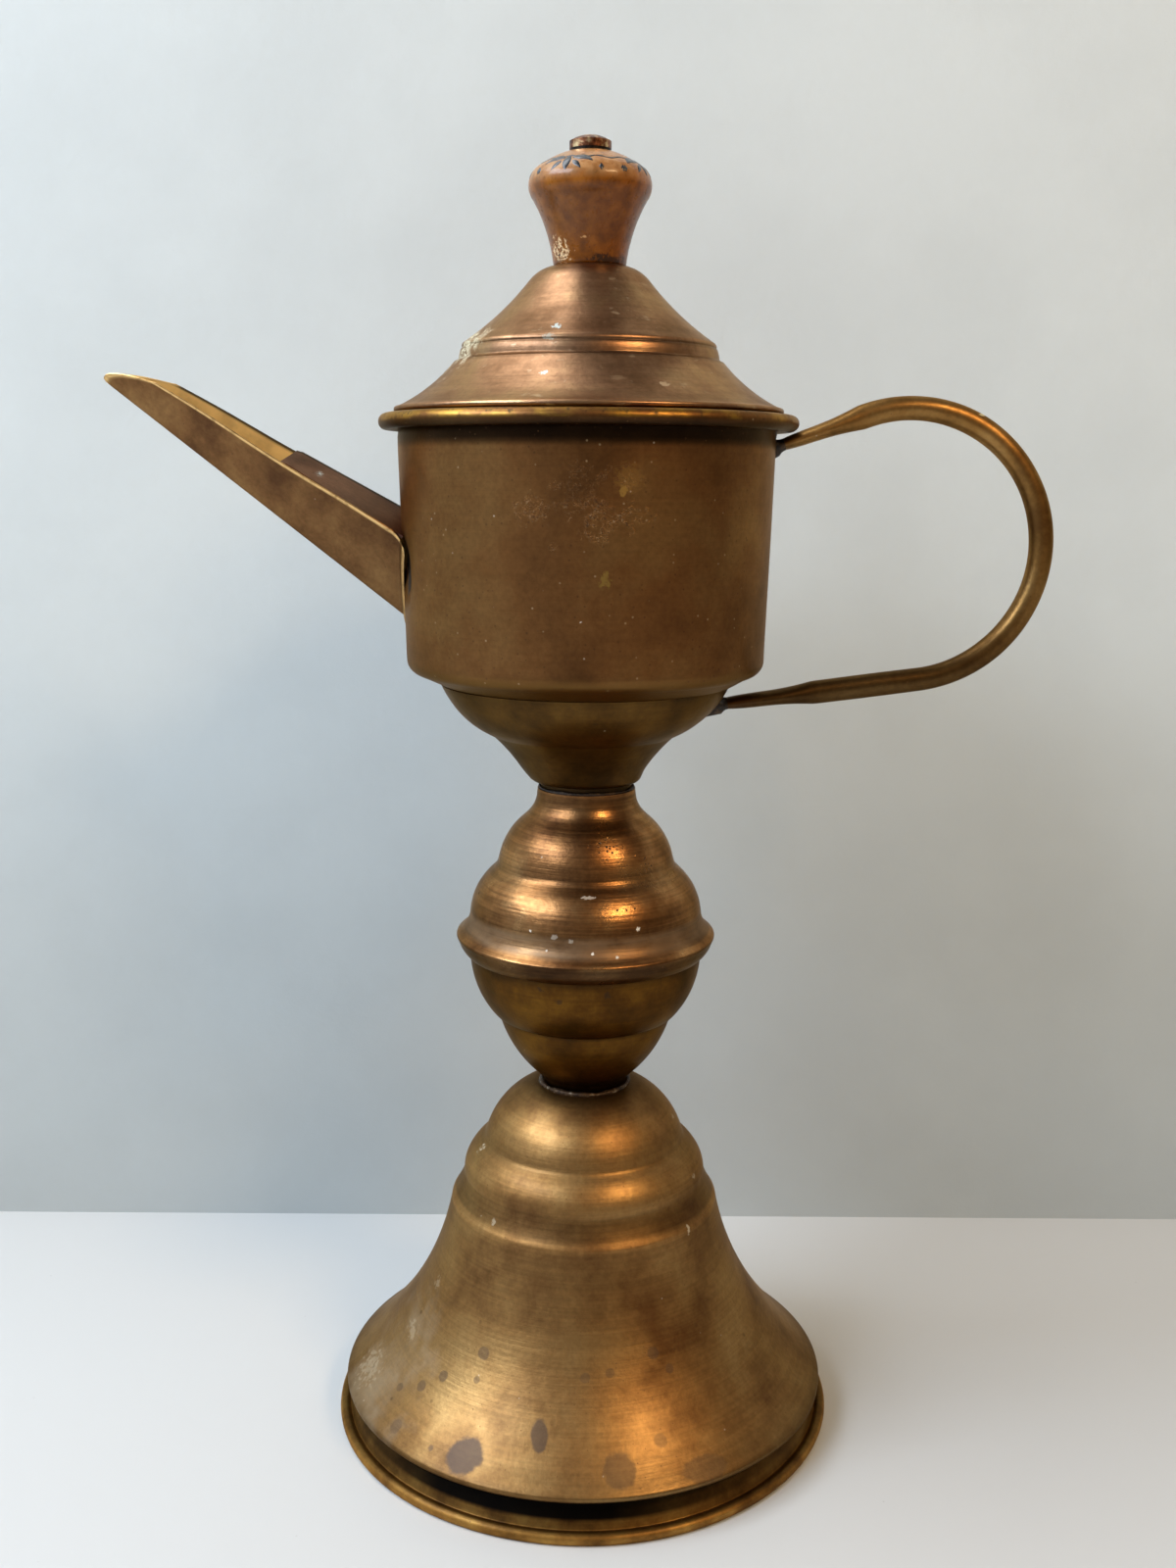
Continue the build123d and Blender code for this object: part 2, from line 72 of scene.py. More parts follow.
def outline(start, *legs):
    """Profile in (radius, height) from legs (radius, height, swell) or ready rows of points."""
    runs = [np.asarray(start, float).reshape(-1, 2)]
    for leg in legs:
        if isinstance(leg, np.ndarray):
            runs.append(leg)
        else:
            runs.append(arc(runs[-1][-1], leg[:2], leg[2] if len(leg) > 2 else 0)[1:])
    return np.concatenate(runs)


def eased(points, reach=0.6, longest=1.6, turn=8.0):
    """The same line with its creases rounded over reach, on as few points as the steps allow.

    Each fine point is the bell-weighted mean of its neighbours. Points are then kept so that no
    step is longer than longest and none turns by more than turn degrees."""
    step = 0.08
    gaps = np.hypot(*np.diff(points, axis=0).T)
    points = points[np.concatenate([[True], gaps > 1e-6])]
    length = np.concatenate([[0], np.cumsum(gaps[gaps > 1e-6])])
    even = np.linspace(0, length[-1], int(length[-1] / step))
    line = np.stack([np.interp(even, length, points[:, k]) for k in (0, 1)], 1)
    wide = max(int(reach / step), 1)
    longer = np.concatenate([
        2 * line[:1] - line[wide:0:-1], line, 2 * line[-1:] - line[-2:-wide - 2:-1]])
    weight = np.hanning(2 * wide + 3)[1:-1]
    line = np.stack([np.convolve(longer[:, k], weight / weight.sum(), "valid") for k in (0, 1)], 1)
    moves = np.diff(line, axis=0)
    heading = np.unwrap(np.arctan2(moves[:, 1], moves[:, 0]))
    bends = np.concatenate([[0], np.abs(np.diff(heading)), [0]])
    strides = np.concatenate([[0], np.hypot(*moves.T) / longest])
    cost = np.cumsum(strides + bends / math.radians(turn))
    picks = np.linspace(cost[0], cost[-1], int(cost[-1]) + 2)
    return np.stack([np.interp(picks, cost, line[:, k]) for k in (0, 1)], 1)


def sheet(outer, gauge=GAUGE):
    """Closed profile of a sheet: the given line, then the line gauge to its left, back."""
    way = np.gradient(outer, axis=0)
    way /= np.maximum(np.hypot(way[:, 0], way[:, 1]), 1e-9)[:, None]
    inner = outer - gauge * np.stack([way[:, 1], -way[:, 0]], 1)
    inner[:, 0] = np.maximum(inner[:, 0], 0)
    return np.concatenate([outer, inner[::-1]])


def solved(gap, low, high, shape):
    """Value in each place where the rising function gap changes sign, by halving the interval."""
    low, high = np.full(shape, float(low)), np.full(shape, float(high))
    for _ in range(40):
        middle = (low + high) / 2
        below = gap(middle) < 0
        low, high = np.where(below, middle, low), np.where(below, high, middle)
    return (low + high) / 2


def smooth(x):
    """Ramp from 0 to 1 with level ends."""
    x = np.clip(x, 0, 1)
    return x * x * (3 - 2 * x)


def angle_gap(angle, other):
    """Difference of two angles, from minus to plus half a turn."""
    return (angle - other + np.pi) % (2 * np.pi) - np.pi


def grid_faces(rows, columns, wrap_rows=False, wrap_columns=False):
    """Quads of a grid of vertices numbered row by row, joined round on either side where asked."""
    i = np.arange(rows if wrap_rows else rows - 1)
    j = np.arange(columns if wrap_columns else columns - 1)
    i, j = np.meshgrid(i, j, indexing="ij")
    i2, j2 = (i + 1) % rows, (j + 1) % columns
    quads = [i * columns + j, i * columns + j2, i2 * columns + j2, i2 * columns + j]
    return np.stack(quads, -1).reshape(-1, 4)


def tube_faces(rows, columns, first=0):
    """Faces of a tube with both ends closed: quads between its rings, then one face on each end ring."""
    last = first + (rows - 1) * columns
    quads = grid_faces(rows, columns, False, True) + first
    return [*quads.tolist(), range(first, first + columns), range(last + columns - 1, last - 1, -1)]


def tidy_mesh(name, points, faces, sharp=SHARP, marks=None):
    """Mesh from points in millimetres: poles and seams welded, faces outwards, shaded smooth."""
    mesh = bpy.data.meshes.new(name)
    mesh.from_pydata((points.reshape(-1, 3) * MM).tolist(), [], [list(f) for f in faces])
    for label, values in (marks or {}).items():
        layer = mesh.attributes.new(label, "FLOAT", "POINT")
        layer.data.foreach_set("value", np.ravel(values).astype(np.float32))
    work = bmesh.new()
    work.from_mesh(mesh)
    bmesh.ops.remove_doubles(work, verts=work.verts, dist=2e-6)
    bmesh.ops.dissolve_degenerate(work, edges=work.edges, dist=1e-7)
    bmesh.ops.recalc_face_normals(work, faces=work.faces)
    work.to_mesh(mesh)
    work.free()
    mesh.shade_smooth()
    mesh.set_sharp_from_angle(angle=math.radians(sharp))
    return mesh


def placed(name, data):
    """Object made from data and put into the scene, at the origin."""
    thing = bpy.data.objects.new(name, data)
    bpy.context.scene.collection.objects.link(thing)
    return thing


def piece(name, mesh, body, material, stands_for=()):
    """A finished mesh as a piece of the lamp, riding on its body."""
    mesh.materials.clear()
    mesh.materials.append(material)
    thing = placed(name, mesh)
    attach(thing, body)
    if stands_for:
        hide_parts(*stands_for)


def turned(name, profile, press=None):
    """Closed profile carried round the Z axis; press(angle, r, z) gives moved radii and heights."""
    angle = np.linspace(0, 2 * np.pi, TURNS, endpoint=False)
    r = np.repeat(profile[:, :1], TURNS, 1)
    z = np.repeat(profile[:, 1:], TURNS, 1)
    if press is not None:
        r, z = press(angle[None, :], r, z)
    points = np.stack([r * np.cos(angle), r * np.sin(angle), z], -1)
    return tidy_mesh(name, points, grid_faces(len(profile), TURNS, True, True))


def spun(node, line, material, press=None, body="stand"):
    """Piece spun from sheet: its outside line, given a sheet's thickness and carried round the axis."""
    name = node + "_spun"
    piece(name, turned(name, sheet(line), press), body, material, [node])


# Materials

def linear(code):
    """sRGB hex to the linear colour that a shader takes."""
    s = np.array([int(code[k:k + 2], 16) for k in (1, 3, 5)]) / 255
    v = np.where(s <= 0.04045, s / 12.92, ((s + 0.055) / 1.055) ** 2.4)
    return (*v.tolist(), 1.0)


def add(tree, kind, inputs=None, **settings):
    """One node: its settings, then each input linked to a socket or set to a value."""
    made = tree.nodes.new("ShaderNode" + kind)
    for key, value in settings.items():
        setattr(made, key, value)
    for key, value in (inputs or {}).items():
        if isinstance(value, bpy.types.NodeSocket):
            tree.links.new(value, made.inputs[key])
        else:
            made.inputs[key].default_value = value
    return made


class Finish:
    """A material in the making: each call lays one more coat of colour, dirt or relief over it."""

    def __init__(self, name, colour="#808080", rough=0.4, metal=1.0):
        self.material = bpy.data.materials.new(name)
        self.material.use_nodes = True
        self.tree = self.material.node_tree
        self.shader = self.tree.nodes["Principled BSDF"]
        self.place = add(self.tree, "TexCoord").outputs["Object"]
        self.split = add(self.tree, "SeparateXYZ", {0: self.place})
        self.height = self.split.outputs[2]
        self.colour = linear(colour)
        self.rough = rough
        self.metal = metal
        self.relief = []

    def clouds(self, size, low=None, high=None, detail=4.0, stretch=None, dim=0.0, full=1.0):
        """Cloudy pattern with lumps size mm across, drawn out along each axis by stretch.

        Between its low and high values it is eased from dim to full. With neither it stays raw."""
        place = self.place
        if stretch:
            scale = tuple(1 / s for s in stretch)
            place = add(self.tree, "Mapping", {"Vector": place, "Scale": scale}).outputs[0]
        cloud = add(self.tree, "TexNoise", {
            "Vector": place, "Scale": 1 / (size * MM), "Detail": detail, "Roughness": 0.6}).outputs[0]
        if low is None:
            return cloud
        return add(self.tree, "MapRange", {
            "Value": cloud, "From Min": low, "From Max": high, "To Min": dim, "To Max": full},
            interpolation_type="SMOOTHSTEP").outputs[0]

    def patch(self, centre, size, ragged=0.5, soft=0.35, grain=2.0):
        """Mask of a stain round a centre, both in mm, with an edge made uneven by grain mm clouds."""
        size = size if isinstance(size, tuple) else (size,) * 3
        local = add(self.tree, "Mapping", {
            "Vector": self.place, "Location": tuple(-c / s for c, s in zip(centre, size)),
            "Scale": tuple(1 / (s * MM) for s in size)})
        far = add(self.tree, "VectorMath", {0: local.outputs[0]}, operation="LENGTH").outputs["Value"]
        uneven = self.clouds(grain, 0.3, 0.7, 3.0, dim=-ragged, full=ragged)
        reach = add(self.tree, "Math", {0: far, 1: uneven}, operation="ADD").outputs[0]
        return add(self.tree, "MapRange", {"Value": reach, "From Min": 1.0, "From Max": 1.0 - soft},
                   interpolation_type="SMOOTHSTEP").outputs[0]

    def specks(self, spacing, radius, share):
        """Mask of round dots of radius mm, one in each cell of spacing mm that chance picks."""
        cells = add(self.tree, "TexVoronoi", {"Vector": self.place, "Scale": 1 / (spacing * MM)})
        dot = add(self.tree, "MapRange", {
            "Value": cells.outputs["Distance"], "From Min": radius / spacing,
            "From Max": 0.5 * radius / spacing}).outputs[0]
        chance = add(self.tree, "SeparateXYZ", {0: cells.outputs["Color"]}).outputs[0]
        picked = add(self.tree, "Math", {0: chance, 1: 1 - share},
                     operation="GREATER_THAN").outputs[0]
        return add(self.tree, "Math", {0: dot, 1: picked}, operation="MULTIPLY").outputs[0]

    def graded(self, value, stops, unit=1.0):
        """Colour or level read off a scale of stops (value in unit, hex or level)."""
        low, high = stops[0][0], stops[-1][0]
        share = add(self.tree, "MapRange", {
            "Value": value, "From Min": low * unit, "From Max": high * unit}).outputs[0]
        ramp = add(self.tree, "ValToRGB", {"Fac": share})
        marks = ramp.color_ramp.elements
        for at, _ in stops[1:-1]:
            marks.new((at - low) / (high - low))
        for mark, (_, tone) in zip(marks, stops):
            mark.color = linear(tone) if isinstance(tone, str) else (tone, tone, tone, 1)
        return ramp.outputs[0]

    def shade(self, level, height=0.0):
        """Multiply the colour by a level, where 1 leaves it alone; a level of 1 stands height mm proud."""
        self.colour = add(self.tree, "Mix", {0: 1.0, 6: self.colour, 7: level}, data_type="RGBA",
                          blend_type="MULTIPLY", clamp_result=True).outputs[2]
        if height:
            self.raised(level, height)

    def layer(self, masks, colour, rough=None, metal=None):
        """Lay a colour where the product of the masks is 1, with its own roughness and metal share."""
        mask, *more = masks if isinstance(masks, tuple) else (masks,)
        for factor in more:
            mask = add(self.tree, "Math", {0: mask, 1: factor}, operation="MULTIPLY").outputs[0]
        self.colour = add(self.tree, "Mix", {0: mask, 6: self.colour, 7: linear(colour)},
                          data_type="RGBA").outputs[2]
        if rough is not None:
            self.rough = add(self.tree, "Mix", {0: mask, 2: self.rough, 3: rough}).outputs[0]
        if metal is not None:
            self.metal = add(self.tree, "Mix", {0: mask, 2: self.metal, 3: metal}).outputs[0]
        return mask

    def stains(self, places, ragged, soft, grain, colour, rough, metal):
        """The same stain at each of the places (centre, size, depth), the first two in mm."""
        for centre, size, depth in places:
            self.layer((self.patch(centre, size, ragged, soft, grain), depth), colour, rough, metal)

    def raised(self, value, height):
        """Let a value of 1 raise the surface by height mm."""
        self.relief.append((value, height * MM))

    def done(self, **sockets):
        """Wire the coats to the shader; sockets are plain values for its other inputs."""
        coats = {"Base Color": self.colour, "Roughness": self.rough, "Metallic": self.metal}
        for key, value in coats.items():
            if isinstance(value, bpy.types.NodeSocket):
                self.tree.links.new(value, self.shader.inputs[key])
            else:
                self.shader.inputs[key].default_value = value
        if self.relief:
            total = 0.0
            for value, height in self.relief:
                total = add(self.tree, "Math", {0: value, 1: height, 2: total},
                            operation="MULTIPLY_ADD").outputs[0]
            bump = add(self.tree, "Bump", {"Height": total, "Strength": 1.0, "Distance": 1.0})
            self.tree.links.new(bump.outputs[0], self.shader.inputs["Normal"])
        for key, value in sockets.items():
            self.shader.inputs[key.replace("_", " ")].default_value = value
        return self.material


# Old clear lacquer over the brass: a faint pale sheen, under which the metal's rims stay brown.
AGED = {"Coat_Weight": 0.1, "Coat_Roughness": 0.3, "Specular_Tint": linear("#e6d2ba")}


def aged_brass(name, dark, mid, bright, rough, blotch=15.0, rings=(0.93, 1.04), ring=0.8,
               ring_lift=0.08, worn=None):
    """Brass sheet gone brown with age, the start of every brass finish here.

    Tarnish clouds blotch mm across drift from dark to bright, and pinholes and grains of dirt lie
    over them. The spinning tool's lines, finer than a render shows, are drawn ring mm apart, with
    rings as their darkest and brightest level. worn gives (z, level) stops of painted
    light and shade: creases, recesses and undersides are darkened where shade falls, and ridges and rims
    are lightened as painted highlights, along with edges rubbed brighter by cloths and hands."""
    brass = Finish(name)
    cloud = brass.clouds(blotch, detail=6.0)
    brass.colour = brass.graded(cloud, ((0.34, dark), (0.5, mid), (0.66, bright)))
    brass.rough = add(brass.tree, "MapRange", {
        "Value": cloud, "From Min": 0.35, "From Max": 0.65, "To Min": rough + 0.06,
        "To Max": rough - 0.04}).outputs[0]
    grain = brass.clouds(1.2, 0.3, 0.7, dim=0.88, full=1.07)
    brass.shade(grain, 0.08)
    if ring:
        lines = brass.clouds(ring, 0.3, 0.7, 2.0, (40, 40, 1), *rings)
        brass.shade(lines, ring_lift)
    # Painted light and shade by height, together with rubbed wear: band by band the colour is darkened or
    # lightened.
    if worn:
        brass.shade(brass.graded(brass.height, worn, MM))
    brass.layer((brass.specks(1.9, 0.24, 0.45), 0.8), dark, rough + 0.2, 0.5)
    brass.layer((brass.specks(5.5, 0.3, 0.2), 0.55), "#c7b9a4", 0.6, 0.2)
    return brass


# Brass sheet spun over a form and left to tarnish: a warm metal, gold where it is rubbed and
# brown where it is not, with soft reflections drawn out by the spinning lines.
# Painted light and shade by height: the underside of the lip, the band above the ridge, the creases between
# the rings and the neck are darkened, and the ridge, the second ring and the crown are lightened as painted
# highlights.
bell = aged_brass("aged_brass_bell", "#6d4b29", "#936e40", "#a88451", 0.45, 24.0, (0.88, 1.06), worn=(
    (9, 0.1), (10.6, 0.3), (11.6, 0.55), (13, 0.78), (18, 0.95), (40, 1.0), (58, 0.88), (62.8, 0.88),
    (63.9, 1.3), (65.1, 1.3), (66.4, 0.66), (69.8, 0.68), (71.4, 0.75), (76, 1.2), (81.1, 0.82),
    (82.5, 0.86), (90, 1.2), (96.5, 0.7), (98.1, 0.5)))
bell.layer((bell.clouds(4.0, 0.5, 0.75, 5.0, (1, 1, 3)), 0.2), "#6d4a2a", 0.45, 0.95)
# A pale dull film over the left of the flare, part dust and part a painted sheen of the light from the left.
left_dust_and_sheen = ((-58.0, -26.0, 26.0), (22.0, 26.0, 34.0), 0.4)
bell.stains([left_dust_and_sheen], 0.3, 0.9, 12.0, "#c4b18f", 0.6, 0.5)
# Dried drops: a thin brown film through which the metal still shines.
bell.stains((
    ((-30.4, -57.0, 15.6), (6.0, 5.0, 6.2), 0.85), ((-11.1, -57.3, 21.8), (2.6, 4.4, 5.6), 0.75),
    ((9.6, -63.2, 15.9), (5.0, 5.0, 6.0), 0.5), ((31.6, -58.0, 13.9), (8.0, 6.0, 3.0), 0.4),
    ((-26.6, -40.5, 35.7), 2.0, 0.55), ((-37.6, -38.4, 27.5), 1.8, 0.6),
    ((-43.7, -36.6, 23.3), 1.9, 0.55), ((-50.2, -32.4, 20.1), 1.6, 0.5),
    ((-28.2, -43.8, 29.9), 1.2, 0.5), ((-39.6, -51.9, 14.6), 1.6, 0.5),
    ((0.7, -49.4, 34.1), 1.6, 0.45), ((7.3, -48.4, 35.0), 1.4, 0.4),
    ((18.8, -43.4, 37.8), 1.9, 0.5), ((23.3, -43.8, 33.7), 1.4, 0.45),
    ((20.3, -56.1, 20.2), 2.2, 0.3), ((-50.0, -42.2, 14.4), 2.4, 0.4)),
    0.07, 0.25, 3.0, "#4f4035", 0.52, 0.85)
flare = bell.graded(bell.height, ((11, 0.0), (16, 1.0), (40, 1.0), (50, 0.0)), MM)
bell.layer((bell.specks(6.5, 0.7, 0.3), flare, 0.5), "#513a24", 0.5, 0.9)
# Scuffs and nicks gone pale with polish.
bell.stains((
    ((-60.7, -16.5, 16.9), (6.0, 7.0, 4.0), 0.3), ((-48.3, -18.8, 30.2), (2.4, 4.0, 2.2), 0.3),
    ((-41.3, -16.8, 43.5), 1.8, 0.25), ((-28.9, -8.2, 79.4), (1.2, 1.4, 2.2), 0.8),
    ((-32.3, -5.8, 75.2), (0.8, 1.0, 1.7), 0.6), ((28.8, -24.6, 64.2), (0.6, 0.7, 1.5), 0.8),
    ((30.6, -14.1, 75.0), (0.6, 0.8, 1.4), 0.6), ((25.3, -4.7, 88.8), (0.6, 0.8, 1.8), 0.6),
    ((-24.6, -26.7, 66.9), 1.0, 0.4)),
    0.7, 0.7, 1.4, "#cbbd9f", 0.55, 0.3)
bell_brass = bell.done(**AGED)

# Painted shade by height: the foot of the rolled edge and the shoulder under the bell's lip are darkened.
base = aged_brass("aged_brass_base", "#6f4c22", "#9b7035", "#b48a46", 0.5, 12.0, worn=(
    (-0.1, 0.5), (0.6, 0.9), (2.4, 1.05), (2.9, 0.5), (3.4, 0.45), (9.3, 0.4)))
# Painted shadow: a near-black band on the shoulder in the gap under the bell's lip, strongest from the left
# to the middle and weaker towards the sides.
gap_shadow_height = base.graded(base.height, ((4.2, 0.0), (5.2, 1.0), (9.3, 1.0)), MM)
gap_shadow_width = base.graded(base.split.outputs[0], (
    (-66, 0.3), (-50, 0.6), (-38, 0.96), (8, 0.98), (36, 0.5), (66, 0.25)), MM)
base.layer((gap_shadow_height, gap_shadow_width), "#040302", 0.9, 1.0)
base_brass = base.done(**AGED)

# Painted light and shade by height: the skirt under the crest, the slope above it, the crease between the
# domes and the top by the neck are darkened, and the crest and the neck's rim are lightened as painted
# highlights.
knop = aged_brass("aged_brass_knop", "#684426", "#93673d", "#b58857", 0.3, 14.0, (0.7, 1.14), 0.68, 0.05, (
    (136, 0.3), (141.2, 0.24), (142.2, 0.4), (142.8, 1.2), (143.7, 1.0), (144.6, 0.56), (149, 0.6),
    (151, 0.9), (158, 0.98), (161.0, 0.72), (163.2, 0.75), (166, 1.0), (175, 0.88), (180, 0.78),
    (182.6, 0.7), (183.4, 1.3), (184, 1.3)))
slope = knop.graded(knop.height, ((143.6, 0.0), (145.0, 1.0), (148.6, 1.0), (150, 0.0)), MM)
knop.layer((slope, knop.clouds(5.0, 0.3, 0.6, 5.0, (2, 2, 1), dim=0.4), 0.6), "#8f7457", 0.6, 0.7)
# Corrosion pits: black pinholes in clusters.
for centre, size in (((6.7, -20.7, 170.7), (5.5, 4.0, 3.6)), ((15.6, -17.9, 166.1), (4.6, 4.0, 3.6)),
                     ((11.1, -27.9, 156.2), (3.4, 3.0, 1.5))):
    cluster = knop.patch(centre, size, 0.6, 0.8)
    pits = knop.layer((cluster, knop.specks(0.95, 0.36, 0.6)), "#180f08", 0.6, 0.3)
    knop.raised(pits, -0.1)
# Flecks of white paint.
knop.stains((
    ((-14.5, -28.6, 150.6), 0.42, 0.8), ((13.8, -28.7, 151.4), (0.75, 0.6, 0.65), 1.0),
    ((1.9, -33.0, 145.8), 0.5, 1.0), ((8.3, -32.7, 144.7), 0.5, 1.0), ((-10.1, -31.4, 146.0), 0.36, 0.7),
    ((-8.2, -31.2, 149.7), 0.9, 0.35), ((-3.9, -32.1, 148.8), 0.7, 0.35),
    ((0.7, -27.5, 159.4), (2.2, 0.8, 0.5), 0.5)),
    0.35, 0.4, 0.6, "#e2dccd", 0.6, 0.0)
knop_brass = knop.done(**AGED)

# Painted shade by height: the cup is darkened at its foot above the bell, in the crease at its ledge, and at
# its top under the knop's crest.
cup = aged_brass("aged_brass_cup", "#3d2606", "#56360c", "#6a4713", 0.4, 12.0, (0.9, 1.05), 0.75, 0.05, (
    (97, 0.3), (101, 0.35), (105, 0.6), (111, 0.95), (118, 0.9), (119.4, 0.4), (120.6, 0.55), (122.5, 0.9),
    (128, 1.0), (134.5, 0.95), (136.6, 0.5), (137.4, 0.15), (142, 0.3)))
cup.stains((
    ((6.0, -31.6, 134.0), 1.1, 0.6), ((-11.8, -30.0, 134.8), 0.9, 0.6), ((-6.8, -31.0, 132.0), 0.8, 0.6)),
    0.5, 0.5, 0.9, "#2d1c08", 0.55, 0.6)
cup_brass = cup.done(**AGED)

# Painted light and shade by height: the neck where it meets the knop, the cove and the rim's edge under the
# reservoir are darkened, and a band above the cove is lightened.
bowl = aged_brass("aged_brass_bowl", "#3f2b10", "#583d18", "#6b4d21", 0.39, 14.0, (0.92, 1.04), worn=(
    (177, 0.4), (185.8, 0.45), (187, 0.8), (189, 0.8), (197.4, 0.8), (199, 1.1), (208, 1.0), (212.9, 0.7)))
ring_mark = ((2.0, -34.4, 207.6), (1.5, 2.0, 1.5), 0.7)
bowl.stains([ring_mark], 0.2, 0.4, 1.0, "#2a1a0c", 0.5, 0.7)
bowl_brass = bowl.done(**AGED)

# Painted light and shade by height: a dark band under the rolled rim stands for the rim's shadow, the bottom
# chamfer is a little darkened, and the top of the rim is lightened as a highlight.
pot = aged_brass("aged_brass_pot", "#5f3f21", "#78512c", "#876238", 0.42, 26.0, (0.95, 1.03), worn=(
    (212, 0.75), (215.8, 0.78), (218.6, 0.85), (220.8, 0.97), (275, 1.0), (276.3, 0.35), (277.2, 0.14),
    (279.8, 0.1), (281.0, 0.3), (281.9, 0.75), (282.6, 1.15), (283.1, 1.0)))
under = pot.graded(pot.height, ((212, 1.0), (217.5, 1.0), (220.0, 0.0)), MM)
pot.layer((under, 0.75), "#6a4c22", 0.42, 1.0)
pot.layer((pot.specks(2.0, 0.36, 0.5), 0.6), "#4a3018", 0.55, 0.7)
pot.layer((pot.specks(3.1, 0.34, 0.5), 0.45), "#c0a680", 0.55, 0.5)
# Crust of old soot and oil above the middle: dark crumbs with pale flakes between them.
for centre, size, depth in (
        ((5.6, -48.8, 258.4), (11.0, 6.0, 4.0), 1.0), ((-12.0, -47.7, 260.0), (6.5, 6.0, 4.0), 0.75),
        ((1.5, -49.0, 254.0), (4.5, 6.0, 3.0), 0.9), ((-2.0, -49.2, 266.0), (9.0, 6.0, 6.0), 0.5),
        ((-8.5, -48.4, 251.0), (1.6, 3.0, 1.4), 0.8), ((8.0, -48.6, 267.0), (6.0, 6.0, 4.0), 0.5)):
    crust = pot.patch(centre, size, 0.5, 0.8, 3.0)
    grit = pot.layer((crust, pot.clouds(1.0, 0.46, 0.62, 5.0), 0.7 * depth), "#3f2a18", 0.6, 0.5)
    pot.layer((crust, pot.clouds(0.7, 0.55, 0.68, 3.0), 0.36 * depth), "#a98d68", 0.55, 0.4)
    pot.raised(grit, 0.16)
# Single flakes of varnish and drops of paint.
for code, centre, size, depth in (
        ("#a8843c", (8.4, -48.9, 264.9), (1.0, 1.5, 1.6), 0.6),
        ("#8b7433", (4.2, -49.0, 243.9), (1.7, 2.0, 2.3), 0.6),
        ("#8d6a2f", (9.9, -48.7, 267.6), 4.0, 0.35), ("#f0e6d6", (-1.5, -49.0, 233.6), 0.5, 1.0),
        ("#c8b49c", (-10.0, -48.0, 233.3), 0.36, 0.6)):
    pot.stains([(centre, size, depth)], 0.4, 0.5, 1.0, code, 0.55, 0.5)
# Painted shadow: a near-black patch in the dent beside the spout, behind the spout's flange.
dent_shadow = ((-46.8, -11.0, 243.2), (4.0, 3.3, 8.0), 0.98)
pot.stains([dent_shadow], 0.1, 0.35, 2.0, "#0a0705", 0.8, 0.1)
# The rolled rim is rubbed golden, with dirt left in spots.
rolled_rim = pot.graded(pot.height, ((278, 0.0), (281.4, 0.0), (282.0, 1.0), (284, 1.0)), MM)
pot.layer((rolled_rim, pot.clouds(6.0, 0.4, 0.6, 5.0, (2, 2, 1)), 0.8), "#a98136", 0.32, 1.0)
pot.layer((rolled_rim, pot.clouds(2.5, 0.55, 0.68), 0.8), "#33240f", 0.5, 0.6)
pot_brass = pot.done(**AGED)

# Painted light and shade by height: the skirt and the brim's underside, the crease at the foot of the band,
# the groove in it and the top under the knob are darkened, and the brim's edge and a line above the groove
# are lightened as painted highlights.
lid = aged_brass("aged_brass_lid", "#7c5a3f", "#a07959", "#b69269", 0.33, 18.0, (0.88, 1.06), worn=(
    (275, 0.6), (284, 0.5), (284.9, 0.8), (285.6, 1.15), (286.3, 0.8), (289, 0.95), (296.4, 1.0),
    (297.3, 0.6), (298.0, 0.8), (299.8, 1.0), (300.4, 0.65), (300.9, 0.5), (301.4, 1.1), (302.3, 0.95),
    (306, 0.95), (318.5, 0.95), (321.4, 0.75)))
# Spots of paint, verdigris and old oil.
for code, centre, size, depth in (
        ("#c3d0cb", (-8.0, -29.4, 304.1), (1.2, 1.2, 0.9), 0.9),
        ("#9fa79a", (-9.4, -31.2, 301.2), (1.9, 1.6, 1.0), 0.5),
        ("#f3f2e6", (-10.6, -38.6, 292.4), (1.3, 1.0, 0.6), 1.0),
        ("#5f4a2e", (6.8, -40.9, 291.3), (1.8, 1.6, 1.2), 0.6),
        ("#c2aa84", (18.0, -39.2, 289.9), (1.9, 1.4, 0.6), 0.6)):
    lid.stains([(centre, size, depth)], 0.45, 0.4, 0.9, code, 0.55, 0.1)
# Scurf of verdigris and polish down the left slope.
scurf = lid.patch((-32.0, -10.0, 300.5), (9.0, 12.0, 10.0), 0.5, 0.9, 4.0)
lid.layer((scurf, lid.clouds(1.0, 0.42, 0.5, 5.0)), "#d2c8a6", 0.6, 0.05)
lid.layer((lid.clouds(2.2, 0.62, 0.72, 5.0, (2, 2, 1)), 0.3), "#d8c4a0", 0.5, 0.6)
lid_brass = lid.done(**AGED)

# Brass sheet folded to a channel: no spinning lines, brown faces, and edges rubbed bright and painted paler
# still as a highlight.
spout = aged_brass("aged_brass_spout", "#593b23", "#745130", "#87643d", 0.4, 16.0, ring=None)
# Painted light and shade along the channel: darker at its root by the reservoir, lighter towards the tip.
spout.shade(spout.graded(spout.split.outputs[0], (
    (-128, 1.05), (-100, 1.1), (-70, 0.95), (-48, 0.8)), MM))
inside, edge, far_edge = (add(spout.tree, "Attribute", attribute_name=label).outputs["Fac"]
                          for label in ("inside", "edge", "far_edge"))
# Painted reflection: the channel's inside is painted a bright gold for the light it reflects.
spout.layer((inside, spout.clouds(7.0, 0.3, 0.65, dim=0.7)), "#efc97f", 0.5, 1.0)
# The rims and the lip: rubbed brass, with a painted highlight along them.
spout.layer((edge, spout.clouds(3.0, 0.3, 0.55, dim=0.4)), "#e8bd7c", 0.34, 1.0)
spout.layer((far_edge, 0.9), "#1d130a", 0.6, 0.6)
spout_brass = spout.done(**AGED)

